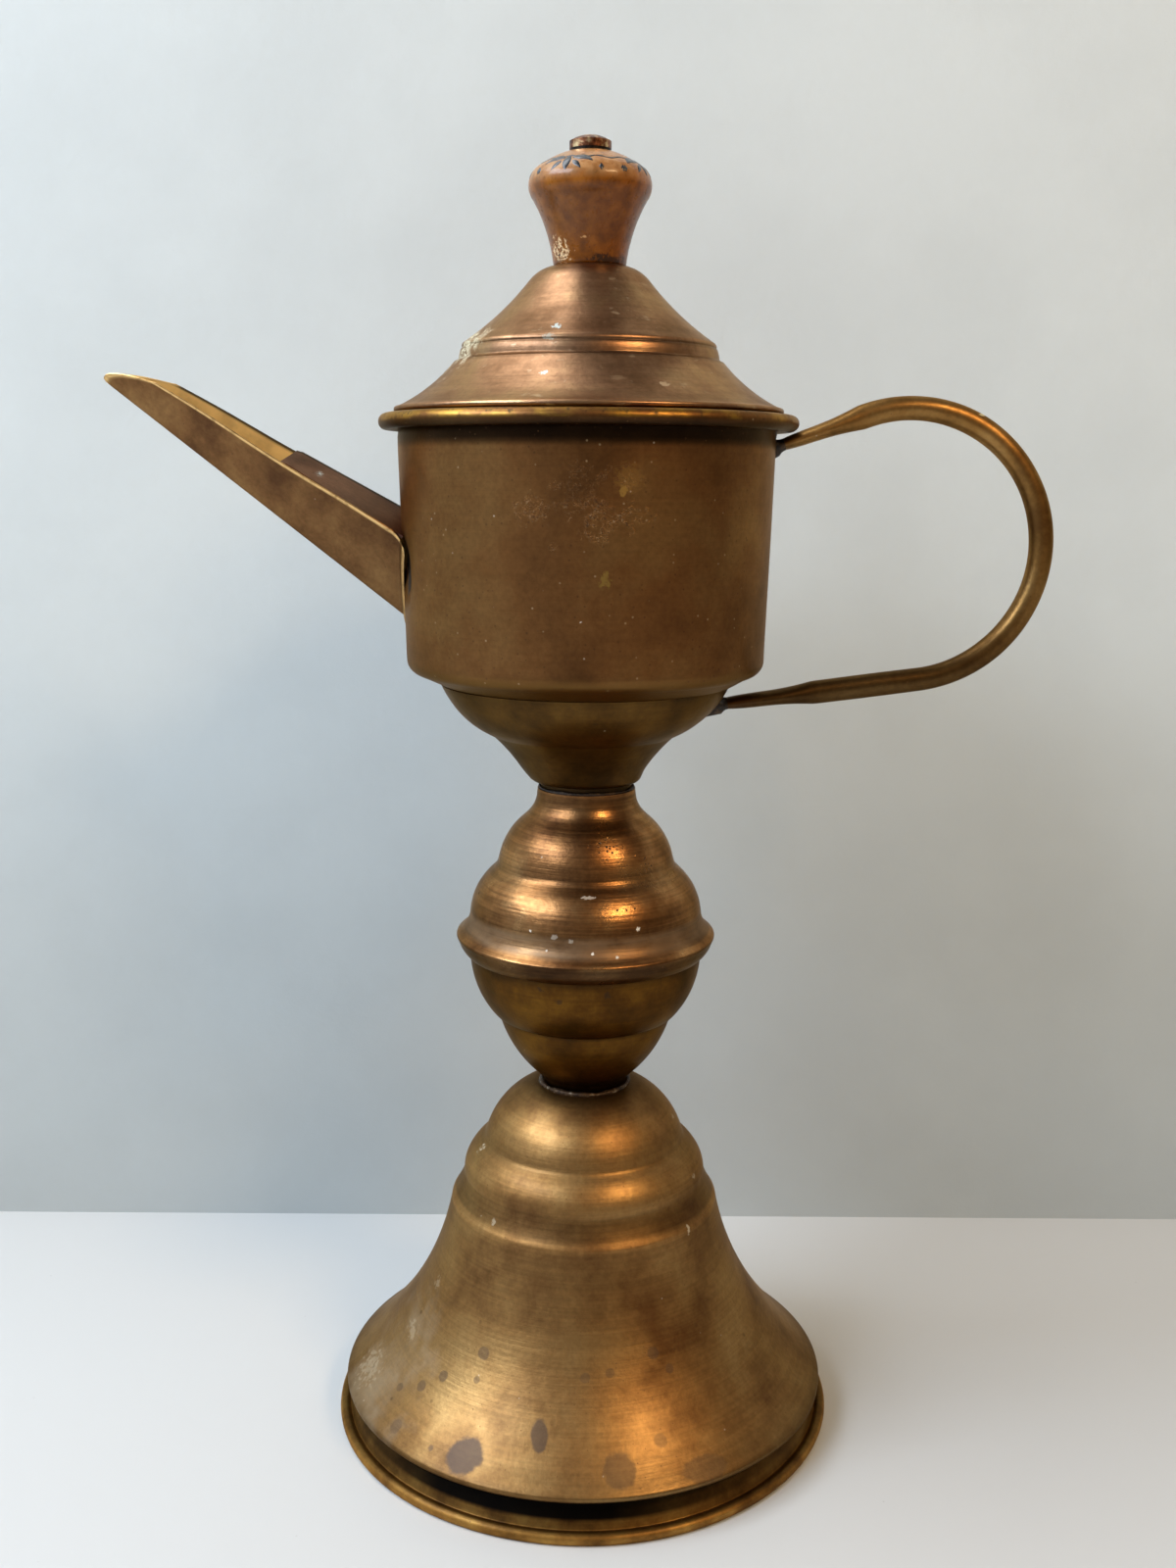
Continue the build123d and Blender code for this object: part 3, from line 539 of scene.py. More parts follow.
# The cover is a cut of redder sheet, with one spot of paint and a dark edge where it laps over.
cover = aged_brass("aged_brass_cover", "#50362d", "#6f4d3d", "#825d4a", 0.44, 18.0, ring=None)
cover.layer(cover.patch((-71.4, -1.8, 266.6), (1.3, 3.0, 2.6), 0.3, 0.5, 0.6), "#b9c4bd", 0.5, 0.1)
cover_edge = add(cover.tree, "Attribute", attribute_name="far_edge").outputs["Fac"]
cover.layer((cover_edge, 0.9), "#1d130a", 0.6, 0.6)
cover_brass = cover.done(**AGED)

# Brass rod, drawn, bent and handled: smoother and more golden than the sheet.
# Painted shade by height: the rod darkens towards its lower run, and its top, rubbed by hands, is lighter.
rod = aged_brass("aged_brass_rod", "#654622", "#866233", "#9b7745", 0.38, 16.0, ring=None, worn=(
    (205, 0.3), (216, 0.36), (224, 0.58), (240, 0.95), (276, 1.15), (290, 1.1)))
rod.layer(rod.patch((103.6, -1.0, 284.6), (1.2, 3.0, 0.5), 0.2, 0.5, 0.5), "#f1d9a4", 0.2, 1.0)
tongue = add(rod.tree, "Attribute", attribute_name="end").outputs["Fac"]
rod.layer((tongue, 0.75), "#4b311a", 0.45, 0.85)
rod_brass = rod.done(**AGED)

# Tin solder wiped on by hand: dull grey lumps, stained brown by the brass around them.
tin = Finish("tin_solder", metal=0.7)
tin.colour = tin.graded(tin.clouds(2.2, detail=5.0), (
    (0.4, "#2a1c10"), (0.56, "#4a3622"), (0.7, "#968a76")))
tin.rough = tin.clouds(1.0, 0.3, 0.7, dim=0.62, full=0.42)
tin.raised(tin.clouds(0.8), 0.12)
solder = tin.done()

# Solder scorched by the torch: nearly black, dull and crumbly.
dirt = Finish("burnt_solder", rough=0.6, metal=0.4)
dirt.colour = dirt.graded(dirt.clouds(1.4, detail=5.0), (
    (0.36, "#140e09"), (0.52, "#2c1f14"), (0.68, "#5a4630")))
dirt.raised(dirt.clouds(0.9), 0.15)
burnt_solder = dirt.done()

# Steel washers and nut, nearly black.
iron = Finish("dark_steel", metal=0.8)
iron.colour = iron.graded(iron.clouds(1.5, detail=5.0), (
    (0.36, "#120e0b"), (0.52, "#241c16"), (0.68, "#40352b")))
iron.rough = iron.clouds(2.0, 0.3, 0.7, dim=0.6, full=0.42)
dark_steel = iron.done()

# Brass screw, worn by screwdrivers and thumbs: pale where it is rubbed, copper red in its pits.
screw = Finish("worn_brass_screw")
screw.colour = screw.graded(screw.clouds(2.6, detail=5.0), (
    (0.36, "#3a2116"), (0.5, "#8d5a3f"), (0.62, "#d8bd8f")))
screw.rough = screw.clouds(1.6, 0.3, 0.7, dim=0.42, full=0.26)
screw.raised(screw.clouds(0.7), 0.05)
screw_brass = screw.done()

# Turned wood under ochre lacquer: a smooth gloss over a mottled coat, chipped pale at the foot.
coat = Finish("ochre_lacquer", metal=0.0)
coat.colour = coat.graded(coat.clouds(3.5, detail=6.0), (
    (0.3, "#603503"), (0.5, "#824908"), (0.7, "#995d17")))
# Painted light and shade by height: the knob is darkened round its middle and lightened towards its shoulder
# and top.
coat.shade(coat.graded(coat.height, (
    (321, 0.85), (325, 0.95), (331, 0.72), (338, 0.85), (341.5, 1.1), (349.5, 1.2)), MM))
coat.rough = coat.clouds(2.0, 0.3, 0.7, dim=0.36, full=0.26)
# A paler shoulder: partly lacquer worn thin, partly a painted sheen where the top catches the light.
top = coat.graded(coat.height, ((340.5, 0.0), (343.5, 1.0), (350, 1.0)), MM)
coat.layer((top, coat.clouds(2.5, 0.35, 0.6, dim=0.45), 0.75), "#ba8f60")
coat.layer((coat.specks(1.7, 0.2, 0.4), 0.75), "#3a210c", 0.4)
coat.layer((coat.clouds(0.9, 0.6, 0.68, 3.0), 0.45), "#4a2a0e", 0.4)
chip = coat.patch((-7.2, -5.8, 324.2), (3.6, 3.6, 3.4), 0.6, 0.5, 1.2)
coat.layer((chip, coat.clouds(0.9, 0.44, 0.52)), "#e2c193", 0.5)
coat.layer((chip, coat.clouds(0.6, 0.54, 0.6, 2.0)), "#18120c", 0.5)
foot_dirt, nick = ((5.2, -7.9, 322.3), (5.8, 5.0, 1.4), 0.85), ((-1.6, -10.0, 327.6), (1.2, 1.0, 0.35), 0.7)
coat.stains([foot_dirt], 0.5, 0.5, 0.9, "#24150a", 0.5, None)
coat.stains([nick], 0.6, 0.5, 0.6, "#d9ab73", 0.4, None)
coat.raised(coat.clouds(3.0, detail=3.0), 0.05)
lacquer = coat.done(Coat_Weight=0.3, Coat_Roughness=0.14, Specular_IOR_Level=0.2)

# Dark blue-black paint, brushed on by hand and rubbed thin in places.
ink = Finish("brushed_paint", rough=0.35, metal=0.0)
ink.colour = ink.graded(ink.clouds(1.2), ((0.36, "#11151b"), (0.55, "#222830"), (0.74, "#4a4238")))
paint = ink.done(Coat_Weight=0.4, Coat_Roughness=0.15)


# Turned pieces

def base_press(angle, r, z):
    """The rolled edge is not quite even, and stands flat on the table."""
    wave = 0.18 * np.sin(2 * angle + 0.6) + 0.1 * np.sin(5 * angle + 2.0)
    return r + wave * smooth((r - 60) / 8), np.maximum(z, 0)


base_line = eased(outline(curl((69.65, 1.45), 1.75, -150, 140), (64.6, 9.2), (0, 9.2)), 0.4)
spun("base_plate", base_line, base_brass, base_press)


MOUTH_LIFT = 1.7


def bell_press(angle, r, z):
    """The mouth stands a little off the base plate at the front left, and the flare is dented."""
    away = np.clip(angle_gap(angle, np.radians(-102)) / 1.35, -1, 1)
    lift = MOUTH_LIFT * np.cos(away * np.pi / 2)
    low = smooth((40 - z) / 30) * np.where(z < 10, smooth((r - 62.5) / 5), 1.0)
    wave = 0.15 * np.sin(3 * angle + 1.0) * smooth((60 - z) / 40)
    return r + wave, z + lift * low


# The ridge is crisp and the rings above it are soft, so the line is eased in two lengths.
RING_MIDDLE = (33.17, 76.91)
bell_line = np.concatenate([
    eased(outline((62.5, 9.2), curl((68.3, 10.4), 1.2, -90, 50), (38.1, 64.4, -5.4), (34.6, 71.5, -0.35),
                  (*RING_MIDDLE, 0.41)), 0.8),
    eased(outline(RING_MIDDLE, (28.6, 81.7, 0.41), (14.2, 98.0, 2.8), (11.7, 98.0)), 2.2)[1:]])
spun("bell_foot", bell_line, bell_brass, bell_press)

cup_line = eased(outline(
    (11.6, 93.0), (11.6, 98.0), (13.3, 101.5, -0.3), (24.5, 119.3, 1.6), (25.85, 119.9),
    (32.4, 137.3, 1.7), (34.62, 141.3)), 0.8)
spun("lower_knop", cup_line, cup_brass)

# The crest is crisp and the creases between the domes are soft, so the line is eased in two lengths.
DOME_MIDDLE = (29.91, 156.32)
knop_line = np.concatenate([
    eased(outline((33.41, 137.3), (35.8, 141.4, 0.4), (35.8, 143.0, 0.45), (32.3, 149.0, -0.9),
                  (*DOME_MIDDLE, 0.43)), 0.9),
    eased(outline(DOME_MIDDLE, (24.6, 161.9, 0.43), (17.6, 175.4, 1.55), (13.7, 181.0, -0.65),
                  (13.5, 183.7)), 3.4)[1:]])
spun("upper_knop", knop_line, knop_brass)

# The bowl and the reservoir are soldered on this far off the axis, towards the spout.
OFF_AXIS = 0.5


def bowl_press(angle, r, z):
    """The bowl's round is moved towards the spout, by most at its cove."""
    off = OFF_AXIS * smooth((z - 184) / 6) * (1.8 - 0.8 * smooth((z - 199) / 12))
    return r - off * np.cos(angle), z


bowl_line = eased(outline(
    (12.6, 177.7), (12.6, 185.6), (15.5, 186.8, 0.45), (25.2, 198.8, -0.6), (39.4, 212.9, 1.9),
    (34.4, 212.9)), 0.5)
spun("under_bowl", bowl_line, bowl_brass, bowl_press)

WALL_FOOT = (48.3, 219.7)
WALL_TOP = (50.0, 282.05)
DENT_DEPTH = 2.0


def wall_radius(x, z):
    """Outside radius of the reservoir's wall at a height, on the spout's or the handle's side."""
    share = (z - WALL_FOOT[1]) / (WALL_TOP[1] - WALL_FOOT[1])
    return WALL_FOOT[0] + (WALL_TOP[0] - WALL_FOOT[0]) * share - OFF_AXIS * np.sign(x)


def pot_press(angle, r, z):
    """The wall is dented beside the spout's root, and its round is a little uneven."""
    across = angle_gap(angle, np.radians(194.5)) / np.radians(10)
    up = (z - 243.6) / 12.5
    dent = DENT_DEPTH * smooth(1 - np.hypot(across, up))
    wave = 0.12 * np.sin(2 * angle + 0.4) + 0.08 * np.sin(5 * angle + z / 18)
    wave = wave * smooth((z - 216) / 10) * smooth((282 - z) / 12)
    off = OFF_AXIS * np.cos(angle) * smooth((281.5 - z) / 4)
    return r + (wave - dent - off) * smooth((r - 40) / 5), z


pot_line = eased(outline(
    (0, 212.9), (39.4, 212.9), (45.2, 215.8), (*WALL_FOOT, 0.9), WALL_TOP,
    curl((51.0, 282.05), 1.0, 180, 90, 12), (53.25, 283.05),
    curl((53.25, 281.75), 1.3, 90, -160, 40)), 0.45)
pot_mesh = turned("reservoir_spun", sheet(pot_line), pot_press)

lid_line = eased(outline(
    curl((50.5, 284.85), 0.8, -175, 90, 24), (50.2, 285.65), (35.4, 297.2, -1.0), (34.2, 297.9, -0.1),
    (33.65, 300.4, 0.1), (33.3, 300.75), (33.4, 301.15), (32.9, 302.1, 0.12), (15.6, 318.0, -0.9),
    (10.2, 321.3, 0.5), (2.6, 321.3)), 0.3, 1.4)
spun("lid", lid_line, lid_brass, body="lid")

skirt_line = eased(outline((48.0, 275.85), (48.0, 286.0)), 0.3)
piece("lid_skirt_ring", turned("lid_skirt_ring", sheet(skirt_line)), "lid", lid_brass,
      ["lid_skirt"])

knob_line = eased(outline(
    (2.6, 321.37), (9.2, 321.37), (9.5, 321.9), (14.8, 337.9, -0.85), (14.2, 345.3, 1.45), (6.4, 349.4, 0.35),
    (2.6, 349.4)), 0.6, 0.8)
piece("knob_turned", turned("knob_turned", knob_line), "knob", lacquer, ["knob"])


def ragged_ring(name, section, seed, rough, material, stands_for):
    """Ring of solder whose section swells and shrinks by chance sine waves round the seam."""
    waves = np.random.default_rng(seed).normal(size=(6, 2))
    orders = np.arange(2, 14, 2)

    def press(angle, r, z):
        sway = sum(a * np.sin(k * angle + 3 * b) for (a, b), k in zip(waves, orders)) / 3
        core = section.mean(0)
        grow = 1 + rough * sway
        return core[0] + (r - core[0]) * grow, core[1] + (z - core[1]) * grow

    piece(name, turned(name, section, press), "stand", material, stands_for)


ragged_ring("foot_solder_wiped", curl((12.45, 98.2), 0.75, 0, 345, 14), 5, 0.45, solder, ["foot_solder"])
ragged_ring("neck_solder_wiped", curl((12.95, 183.95), 0.42, 0, 330, 12), 8, 0.3, burnt_solder,
            ["neck_solder"])


# Spout: V-shaped channel on an axis that climbs 34 degrees and leans 13 degrees towards -Y

CLIMB, LEAN = math.radians(34.0), math.radians(13.0)
SPOUT_L = 96.4
ROOT_WIDTH, ROOT_DEPTH, ROOT_KEEL = 22.9, 21.9, 2.0
WIDTH_LOSS, DEPTH_LOSS, KEEL_LOSS = 17.3, 14.4, 0.7
FOLD = 0.16
EDGE_ROUND = 0.2
FLANGE_W = 1.6
LIP_Z = 293.0
LIP_SIDE = (0, 0.04, 0.1, 0.2, 0.35, 0.6, 0.85, 1)
LIP_ARCH = (-2.3, -1.6, -0.7, 0.1, 0.7, 0.8, -0.1, -1.6)
ROOT = np.array([-48.0, 0.0, 242.7])
ALONG = np.array([-math.cos(CLIMB), 0.0, math.sin(CLIMB)])
ACROSS = np.array([
    -math.sin(LEAN) * math.sin(CLIMB), -math.cos(LEAN), -math.sin(LEAN) * math.cos(CLIMB)])
UPWARD = np.cross(ALONG, ACROSS)


def vee(along, side, inset, drop=0.0, rise=0.0):
    """Point of the folded V: side runs from -1 at the far top edge, round the keel, to 1 at the near one.

    Sides up to FOLD bend round the keel's radius, and the rest climb a straight wall. inset moves
    the walls inwards, drop lowers the top edges and rise lifts the point."""
    share = along / SPOUT_L
    width = ROOT_WIDTH - WIDTH_LOSS * share
    depth = ROOT_DEPTH - DEPTH_LOSS * share
    keel = ROOT_KEEL - KEEL_LOSS * share
    half = np.arctan2(width / 2, depth - keel) - np.arcsin(keel / np.hypot(width / 2, depth - keel))
    radius = keel - inset
    bend = np.clip(side / FOLD, -1, 1) * (np.pi / 2 - half)
    climb = np.clip((np.abs(side) - FOLD) / (1 - FOLD), 0, None)
    climb = climb * (depth - keel - drop + radius * np.sin(half)) / np.cos(half)
    x = radius * np.sin(bend) + climb * np.sign(side) * np.sin(half)
    y = keel - depth / 2 - radius * np.cos(bend) + climb * np.cos(half) + rise
    return ROOT + along[..., None] * ALONG + x[..., None] * ACROSS + y[..., None] * UPWARD


def on_wall(*section):
    """Station where a line of the V meets the reservoir's wall."""
    def gap(along):
        p = vee(along, *section)
        return np.hypot(p[..., 0], p[..., 1]) - wall_radius(p[..., 0], p[..., 2])
    return solved(gap, -9, 30, np.broadcast_shapes(*(np.shape(s) for s in section)))


def at_lip(*section):
    """Station where a line of the V reaches the lip, which arches between the keel and each top edge."""
    arch = np.interp(np.abs(section[0]), LIP_SIDE, LIP_ARCH)
    return solved(lambda along: vee(along, *section)[..., 2] - LIP_Z - arch, 50, 108,
                  np.broadcast_shapes(*(np.shape(s) for s in section)))


# One ring round the sheet: down its outside, over the far edge, back up its inside, over the near edge
up_wall = np.array([0.15, 0.3, 0.45, 0.6, 0.75, 0.87, 0.94, 0.97, 0.985, 1.0])
half_side = np.concatenate([np.linspace(0, FOLD, 5), FOLD + (1 - FOLD) * up_wall])
sides = np.concatenate([-half_side[:0:-1], half_side])
count = len(sides)
loop_side = np.concatenate([sides[::-1], [-1], sides, [1]])[None, :]
loop_inset = np.concatenate([np.zeros(count), [GAUGE / 2], np.full(count, GAUGE), [GAUGE / 2]])[None, :]
loop_drop = np.tile([*[EDGE_ROUND] * count, 0.0], 2)[None, :]
outside = (loop_inset == 0).astype(float)

# Rings along it: a flange turned out against the wall, the plain run, and the lip's rounded edge
near_wall = np.array([0, 0.35, 0.7, 0.82, 0.95, 1.2, 1.7, 2.4, 3.2, 4.0])[:, None]
flange = np.array([1, 1, 0.97, 0.85, 0.5, 0.0, 0, 0, 0, 0])[:, None]
CORNER_R, RUN_SHORT = 4.0, 2.4
short = 1 - np.clip(near_wall / CORNER_R, 0, 1)
corner = CORNER_R * (1 - np.sqrt(np.clip(1 - short ** 2, 0, 1)))
root_inset = loop_inset - FLANGE_W * flange * outside
root_side = np.broadcast_to(loop_side, root_inset.shape)
root_rows = on_wall(root_side, root_inset, loop_drop + corner) + near_wall
tip_row = at_lip(loop_side, loop_inset, loop_drop)
run_share = np.linspace(0, 1, 44)[1:, None]
tip_gaps = np.array([1.7, 1.1, 0.6, 0.28, 0.1, 0.0])[:, None]
tip_thick = np.array([1.0, 1.0, 0.97, 0.85, 0.6, 0.3])[:, None]
run_rows = root_rows[-1:] + (tip_row - RUN_SHORT - root_rows[-1:]) * run_share
stations = np.concatenate([root_rows, run_rows, tip_row - tip_gaps])
rows = len(stations)
tip_inset = GAUGE / 2 + (loop_inset - GAUGE / 2) * tip_thick
plain_rows = rows - len(root_inset) - len(tip_inset)
all_inset = np.concatenate([root_inset, np.repeat(loop_inset, plain_rows, 0), tip_inset])
all_drop = np.concatenate([loop_drop + corner, np.repeat(loop_drop, rows - len(corner), 0)])
all_side = np.repeat(loop_side, rows, 0)
bow = 0.25 * np.sin(np.pi * np.clip(stations / SPOUT_L, 0, 1)) * np.sin(stations / 9.0)
spout_points = vee(stations, all_side, all_inset, all_drop, bow * (np.abs(all_side) > 0.9))
columns = loop_side.shape[1]
spout_faces = grid_faces(rows, columns, False, True).tolist()
k = np.arange(count - 1)
end_quads = np.stack([k, k + 1, 2 * count - k - 1, 2 * count - k], 1)
end_corners = np.array([[count - 1, count, count + 1], [2 * count, 2 * count + 1, 0]])
for first in (0, (rows - 1) * columns):
    spout_faces += (end_quads + first).tolist() + (end_corners + first).tolist()
near_edge = np.clip((all_side - 0.955) / 0.015, 0, 1)
lip_edge = np.concatenate([np.zeros(rows - len(tip_gaps)), [0.2, 0.8, 1, 1, 1, 1]])[:, None]
root_edge = np.concatenate([flange[:, 0] * 0.5, np.zeros(rows - len(flange))])[:, None] * outside
edge_mark = np.maximum(np.maximum(near_edge, lip_edge), root_edge)
far_mark = np.clip((-all_side - 0.965) / 0.02, 0, 1) * (1 - lip_edge)
inside_mark = np.repeat(1 - (loop_inset < GAUGE).astype(float), rows, 0)
piece("spout_channel_folded",
      tidy_mesh("spout_channel_folded", spout_points, spout_faces, 40,
                {"edge": edge_mark, "inside": inside_mark, "far_edge": far_mark}),
      "stand", spout_brass, ["spout_channel"])

# Cover plate: lies in the channel's top and laps over its far edge
COVER_L, COVER_T = 43.0, 0.75
lap = np.concatenate([[0, 0.06], np.linspace(0.12, 1, 8)])[None, :]
plate_rows = np.concatenate([[0, 0.5], np.linspace(2, COVER_L - 0.6, 28), [COVER_L]])[:, None]


def plate_point(along, lap, down):
    """Point of the plate: straight across from the far edge's outside to the near wall's inside."""
    far = vee(along, np.full(along.shape, -1.0), 0.0, 0.0)
    near = vee(along, np.full(along.shape, 1.0), GAUGE + 0.1, 0.0)
    proud = 0.5 * (1 - lap) - 0.12 - down
    return far + (near - far) * lap[..., None] + proud[..., None] * UPWARD


def plate_gap(along):
    """How far a point of the plate's root edge stands off the reservoir's wall."""
    p = plate_point(along, np.broadcast_to(lap, along.shape), np.zeros(along.shape))
    return np.hypot(p[..., 0], p[..., 1]) - wall_radius(p[..., 0], p[..., 2]) - 0.03


plate_root = solved(plate_gap, -9, 30, (1, lap.shape[1]))
plate_along = plate_root + (COVER_L - plate_root) * plate_rows / COVER_L
plate_lap = np.broadcast_to(lap, plate_along.shape)
droop = 0.4 * smooth((plate_rows - COVER_L + 2.0) / 2.0)
plate_top = plate_point(plate_along, plate_lap, np.broadcast_to(droop, plate_along.shape))
plate_low = plate_point(plate_along, plate_lap, np.broadcast_to(droop + COVER_T, plate_along.shape))
plate_points = np.concatenate([plate_top, plate_low[:, ::-1]], 1)
plate_rings, plate_columns = plate_points.shape[:2]
plate_faces = grid_faces(plate_rings, plate_columns, False, True).tolist()
k = np.arange(plate_columns // 2 - 1)
plate_end = np.stack([k, k + 1, plate_columns - 2 - k, plate_columns - 1 - k], 1)
for first in (0, (plate_rings - 1) * plate_columns):
    plate_faces += (plate_end + first).tolist()
plate_far = np.concatenate([lap[0] < 0.1, lap[0, ::-1] < 0.1])[None].astype(float)
piece("spout_cover_plate",
      tidy_mesh("spout_cover_plate", plate_points, plate_faces, 40,
                {"far_edge": np.repeat(plate_far, plate_rings, 0)}),
      "stand", cover_brass, ["spout_cover"])

# The hole behind the spout: the channel's inside below its cover, cut through the reservoir's wall
THROAT_ENDS, THROAT_FIT, THROAT_DROP = (-8.0, 12.0), 0.05, 1.2
throat_along, throat_side = np.broadcast_arrays(np.array(THROAT_ENDS)[:, None], sides[None, :])
throat_points = vee(throat_along, throat_side, GAUGE + THROAT_FIT, THROAT_DROP)
throat = placed("throat", tidy_mesh("throat", throat_points, tube_faces(2, count)))
blank = placed("reservoir_blank", pot_mesh)
cut = blank.modifiers.new("throat", "BOOLEAN")
cut.operation, cut.solver, cut.object = "DIFFERENCE", "EXACT", throat
holed = bpy.data.meshes.new_from_object(blank.evaluated_get(bpy.context.evaluated_depsgraph_get()))
bpy.data.objects.remove(blank)
bpy.data.objects.remove(throat)
holed.name = "reservoir_spun"
holed.shade_smooth()
holed.set_sharp_from_angle(angle=math.radians(SHARP))
piece("reservoir_spun", holed, "stand", pot_brass, ["reservoir"])


# Handle: round rod bent to a loop, hammered flat where it is soldered on

BEND = np.array([85.5, 250.1])
BEND_R = 36.2
ROD_R = 3.2
UPPER_END = np.array([49.5, 275.85])
LOWER_END = np.array([36.0, 207.0])
UPPER_TAPER, LOWER_TAPER, SUNK = 24.0, 26.0, 3.0
TONGUE = (4.6, 0.8)


def tangent_angle(end, side):
    """Angle on the bend where the straight run to an end leaves it."""
    dx, dz = end - BEND
    return math.atan2(dz, dx) + side * math.acos(BEND_R / math.hypot(dx, dz))


def rod_section(gap, taper):
    """Half width and half thickness at a distance from the wall: round, then hammered flat."""
    share = np.clip((gap + SUNK) / (taper + SUNK), 0, 1)
    share = share + 0.12 * np.sin(2 * np.pi * share) * (share < 1)
    return TONGUE[0] + (ROD_R - TONGUE[0]) * share, TONGUE[1] + (ROD_R - TONGUE[1]) * share


def bowl_radius(x, z):
    """Outside radius of the under-bowl at a height, on the spout's or the handle's side."""
    rising = bowl_line[:np.argmax(bowl_line[:, 0]) + 1]
    return np.interp(z, rising[:, 1], rising[:, 0]) - OFF_AXIS * np.sign(x)


upper_turn = tangent_angle(UPPER_END, -1)
lower_turn = tangent_angle(LOWER_END, 1)
leave = BEND + BEND_R * np.array([math.cos(upper_turn), math.sin(upper_turn)])
arrive = BEND + BEND_R * np.array([math.cos(lower_turn), math.sin(lower_turn)])
upper_run = np.hypot(*(leave - UPPER_END))
lower_run = np.hypot(*(arrive - LOWER_END))
upper_way = (leave - UPPER_END) / upper_run
lower_way = (arrive - LOWER_END) / lower_run
upper_gap = np.linspace(0.0, upper_run, 30)
lower_gap = np.linspace(lower_run, 0.0, 46)
sweep = np.linspace(upper_turn, lower_turn, 110)
rod_line = np.concatenate([
    UPPER_END + upper_gap[:, None] * upper_way,
    BEND + BEND_R * np.stack([np.cos(sweep[1:-1]), np.sin(sweep[1:-1])], 1),
    LOWER_END + lower_gap[:, None] * lower_way])
heading = np.concatenate([
    np.repeat(upper_way[None], len(upper_gap), 0),
    np.stack([np.sin(sweep[1:-1]), -np.cos(sweep[1:-1])], 1),
    np.repeat(-lower_way[None], len(lower_gap), 0)])
upper_half = rod_section(upper_gap, UPPER_TAPER)
lower_half = rod_section(lower_gap, LOWER_TAPER)
round_half = np.full(len(sweep) - 2, ROD_R)
half_wide = np.concatenate([upper_half[0], round_half, lower_half[0]])[:, None]
half_thick = np.concatenate([upper_half[1], round_half, lower_half[1]])[:, None]
ROUND = 36
around = np.linspace(0, 2 * np.pi, ROUND, endpoint=False)[None, :]
ripple = 1 + 0.012 * np.sin(np.arange(len(rod_line)) / 5.0)[:, None] * np.cos(2 * around)
out_x = -heading[:, 1:]
out_z = heading[:, :1]
rod_points = np.stack([
    rod_line[:, :1] + out_x * half_thick * np.sin(around) * ripple,
    half_wide * np.cos(around) * ripple,
    rod_line[:, 1:] + out_z * half_thick * np.sin(around) * ripple], -1)


def to_wall(row, way, radius):
    """Slide a row of points along a run until each one stands on a turned wall."""
    step = np.array([way[0], 0.0, way[1]])

    def gap(slide):
        p = row + slide[:, None] * step
        return np.hypot(p[:, 0], p[:, 1]) - radius(p[:, 0], p[:, 2])

    return row + solved(gap, -6, 6, (len(row),))[:, None] * step


rod_points[0] = to_wall(rod_points[0], upper_way, wall_radius)
rod_points[-1] = to_wall(rod_points[-1], lower_way, bowl_radius)
end_mark = np.concatenate([smooth(1 - upper_gap / 9), np.zeros(len(sweep) - 2), smooth(1 - lower_gap / 14)])
piece("handle_rod",
      tidy_mesh("handle_rod", rod_points, tube_faces(len(rod_line), ROUND), 60,
                {"end": np.repeat(end_mark[:, None], ROUND, 1)}),
      "stand", rod_brass, ["handle"])


FILLET_H, FILLET_W, FILLET_SKIN, FILLET_SUNK = 2.3, 1.5, 0.08, 0.15


def wiped_solder(name, end, way, taper, radius, seed, stands_for):
    """Fillet of solder round a tongue: widest on the wall, hollow, uneven by chance sine waves."""
    rng = np.random.default_rng(seed)
    gap = np.linspace(0, FILLET_H, 8)[:, None]
    spread = FILLET_W * (1 - gap / FILLET_H) ** 1.8
    sway = sum(rng.normal(0, 0.16) * np.sin(n * around + rng.uniform(0, 6)) for n in range(1, 6))
    wide, thick = rod_section(gap, taper)
    wide = wide + FILLET_SKIN + spread * (1 + sway)
    thick = thick + FILLET_SKIN + spread * (1 + sway)
    side_x, side_z = -way[1], way[0]
    points = np.stack([
        end[0] + gap * way[0] + side_x * thick * np.sin(around),
        wide * np.cos(around) + 0 * gap,
        end[1] + gap * way[1] + side_z * thick * np.sin(around)], -1)
    points[0] = to_wall(points[0], way, lambda x, z: radius(x, z) - FILLET_SUNK)
    mesh = tidy_mesh(name, points, tube_faces(len(gap), ROUND), 60)
    piece(name, mesh, "stand", burnt_solder, stands_for)


wiped_solder("upper_solder_wiped", UPPER_END, upper_way, UPPER_TAPER, wall_radius, 3, ["upper_handle_solder"])
wiped_solder("lower_solder_wiped", LOWER_END, lower_way, LOWER_TAPER, bowl_radius, 4, ["lower_handle_solder"])


# Painted sprigs round the knob's shoulder: brush strokes a hair proud of the lacquer

crown = knob_line[np.argmax(knob_line[:, 0]):-4]
crown_run = np.concatenate([[0], np.cumsum(np.hypot(*np.diff(crown, axis=0).T))])


def shoulder(turn, run, proud):
    """Point of the knob's shoulder at an angle and a run in mm up from its widest, proud of it by mm."""
    r = np.interp(run, crown_run, crown[:, 0])
    z = np.interp(run, crown_run, crown[:, 1])
    tilt = np.interp(run, crown_run, np.arctan2(*np.gradient(crown, axis=0).T[::-1]))
    r, z = r + proud * np.sin(tilt), z - proud * np.cos(tilt)
    return np.stack([r * np.cos(turn), r * np.sin(turn), z], -1)


# Section of a stroke: share of its half width, and mm proud of the lacquer
STROKE = np.array([(-1.0, -0.12), (-0.75, 0.05), (0.0, 0.07), (0.75, 0.05), (1.0, -0.12), (0.0, -0.14)])


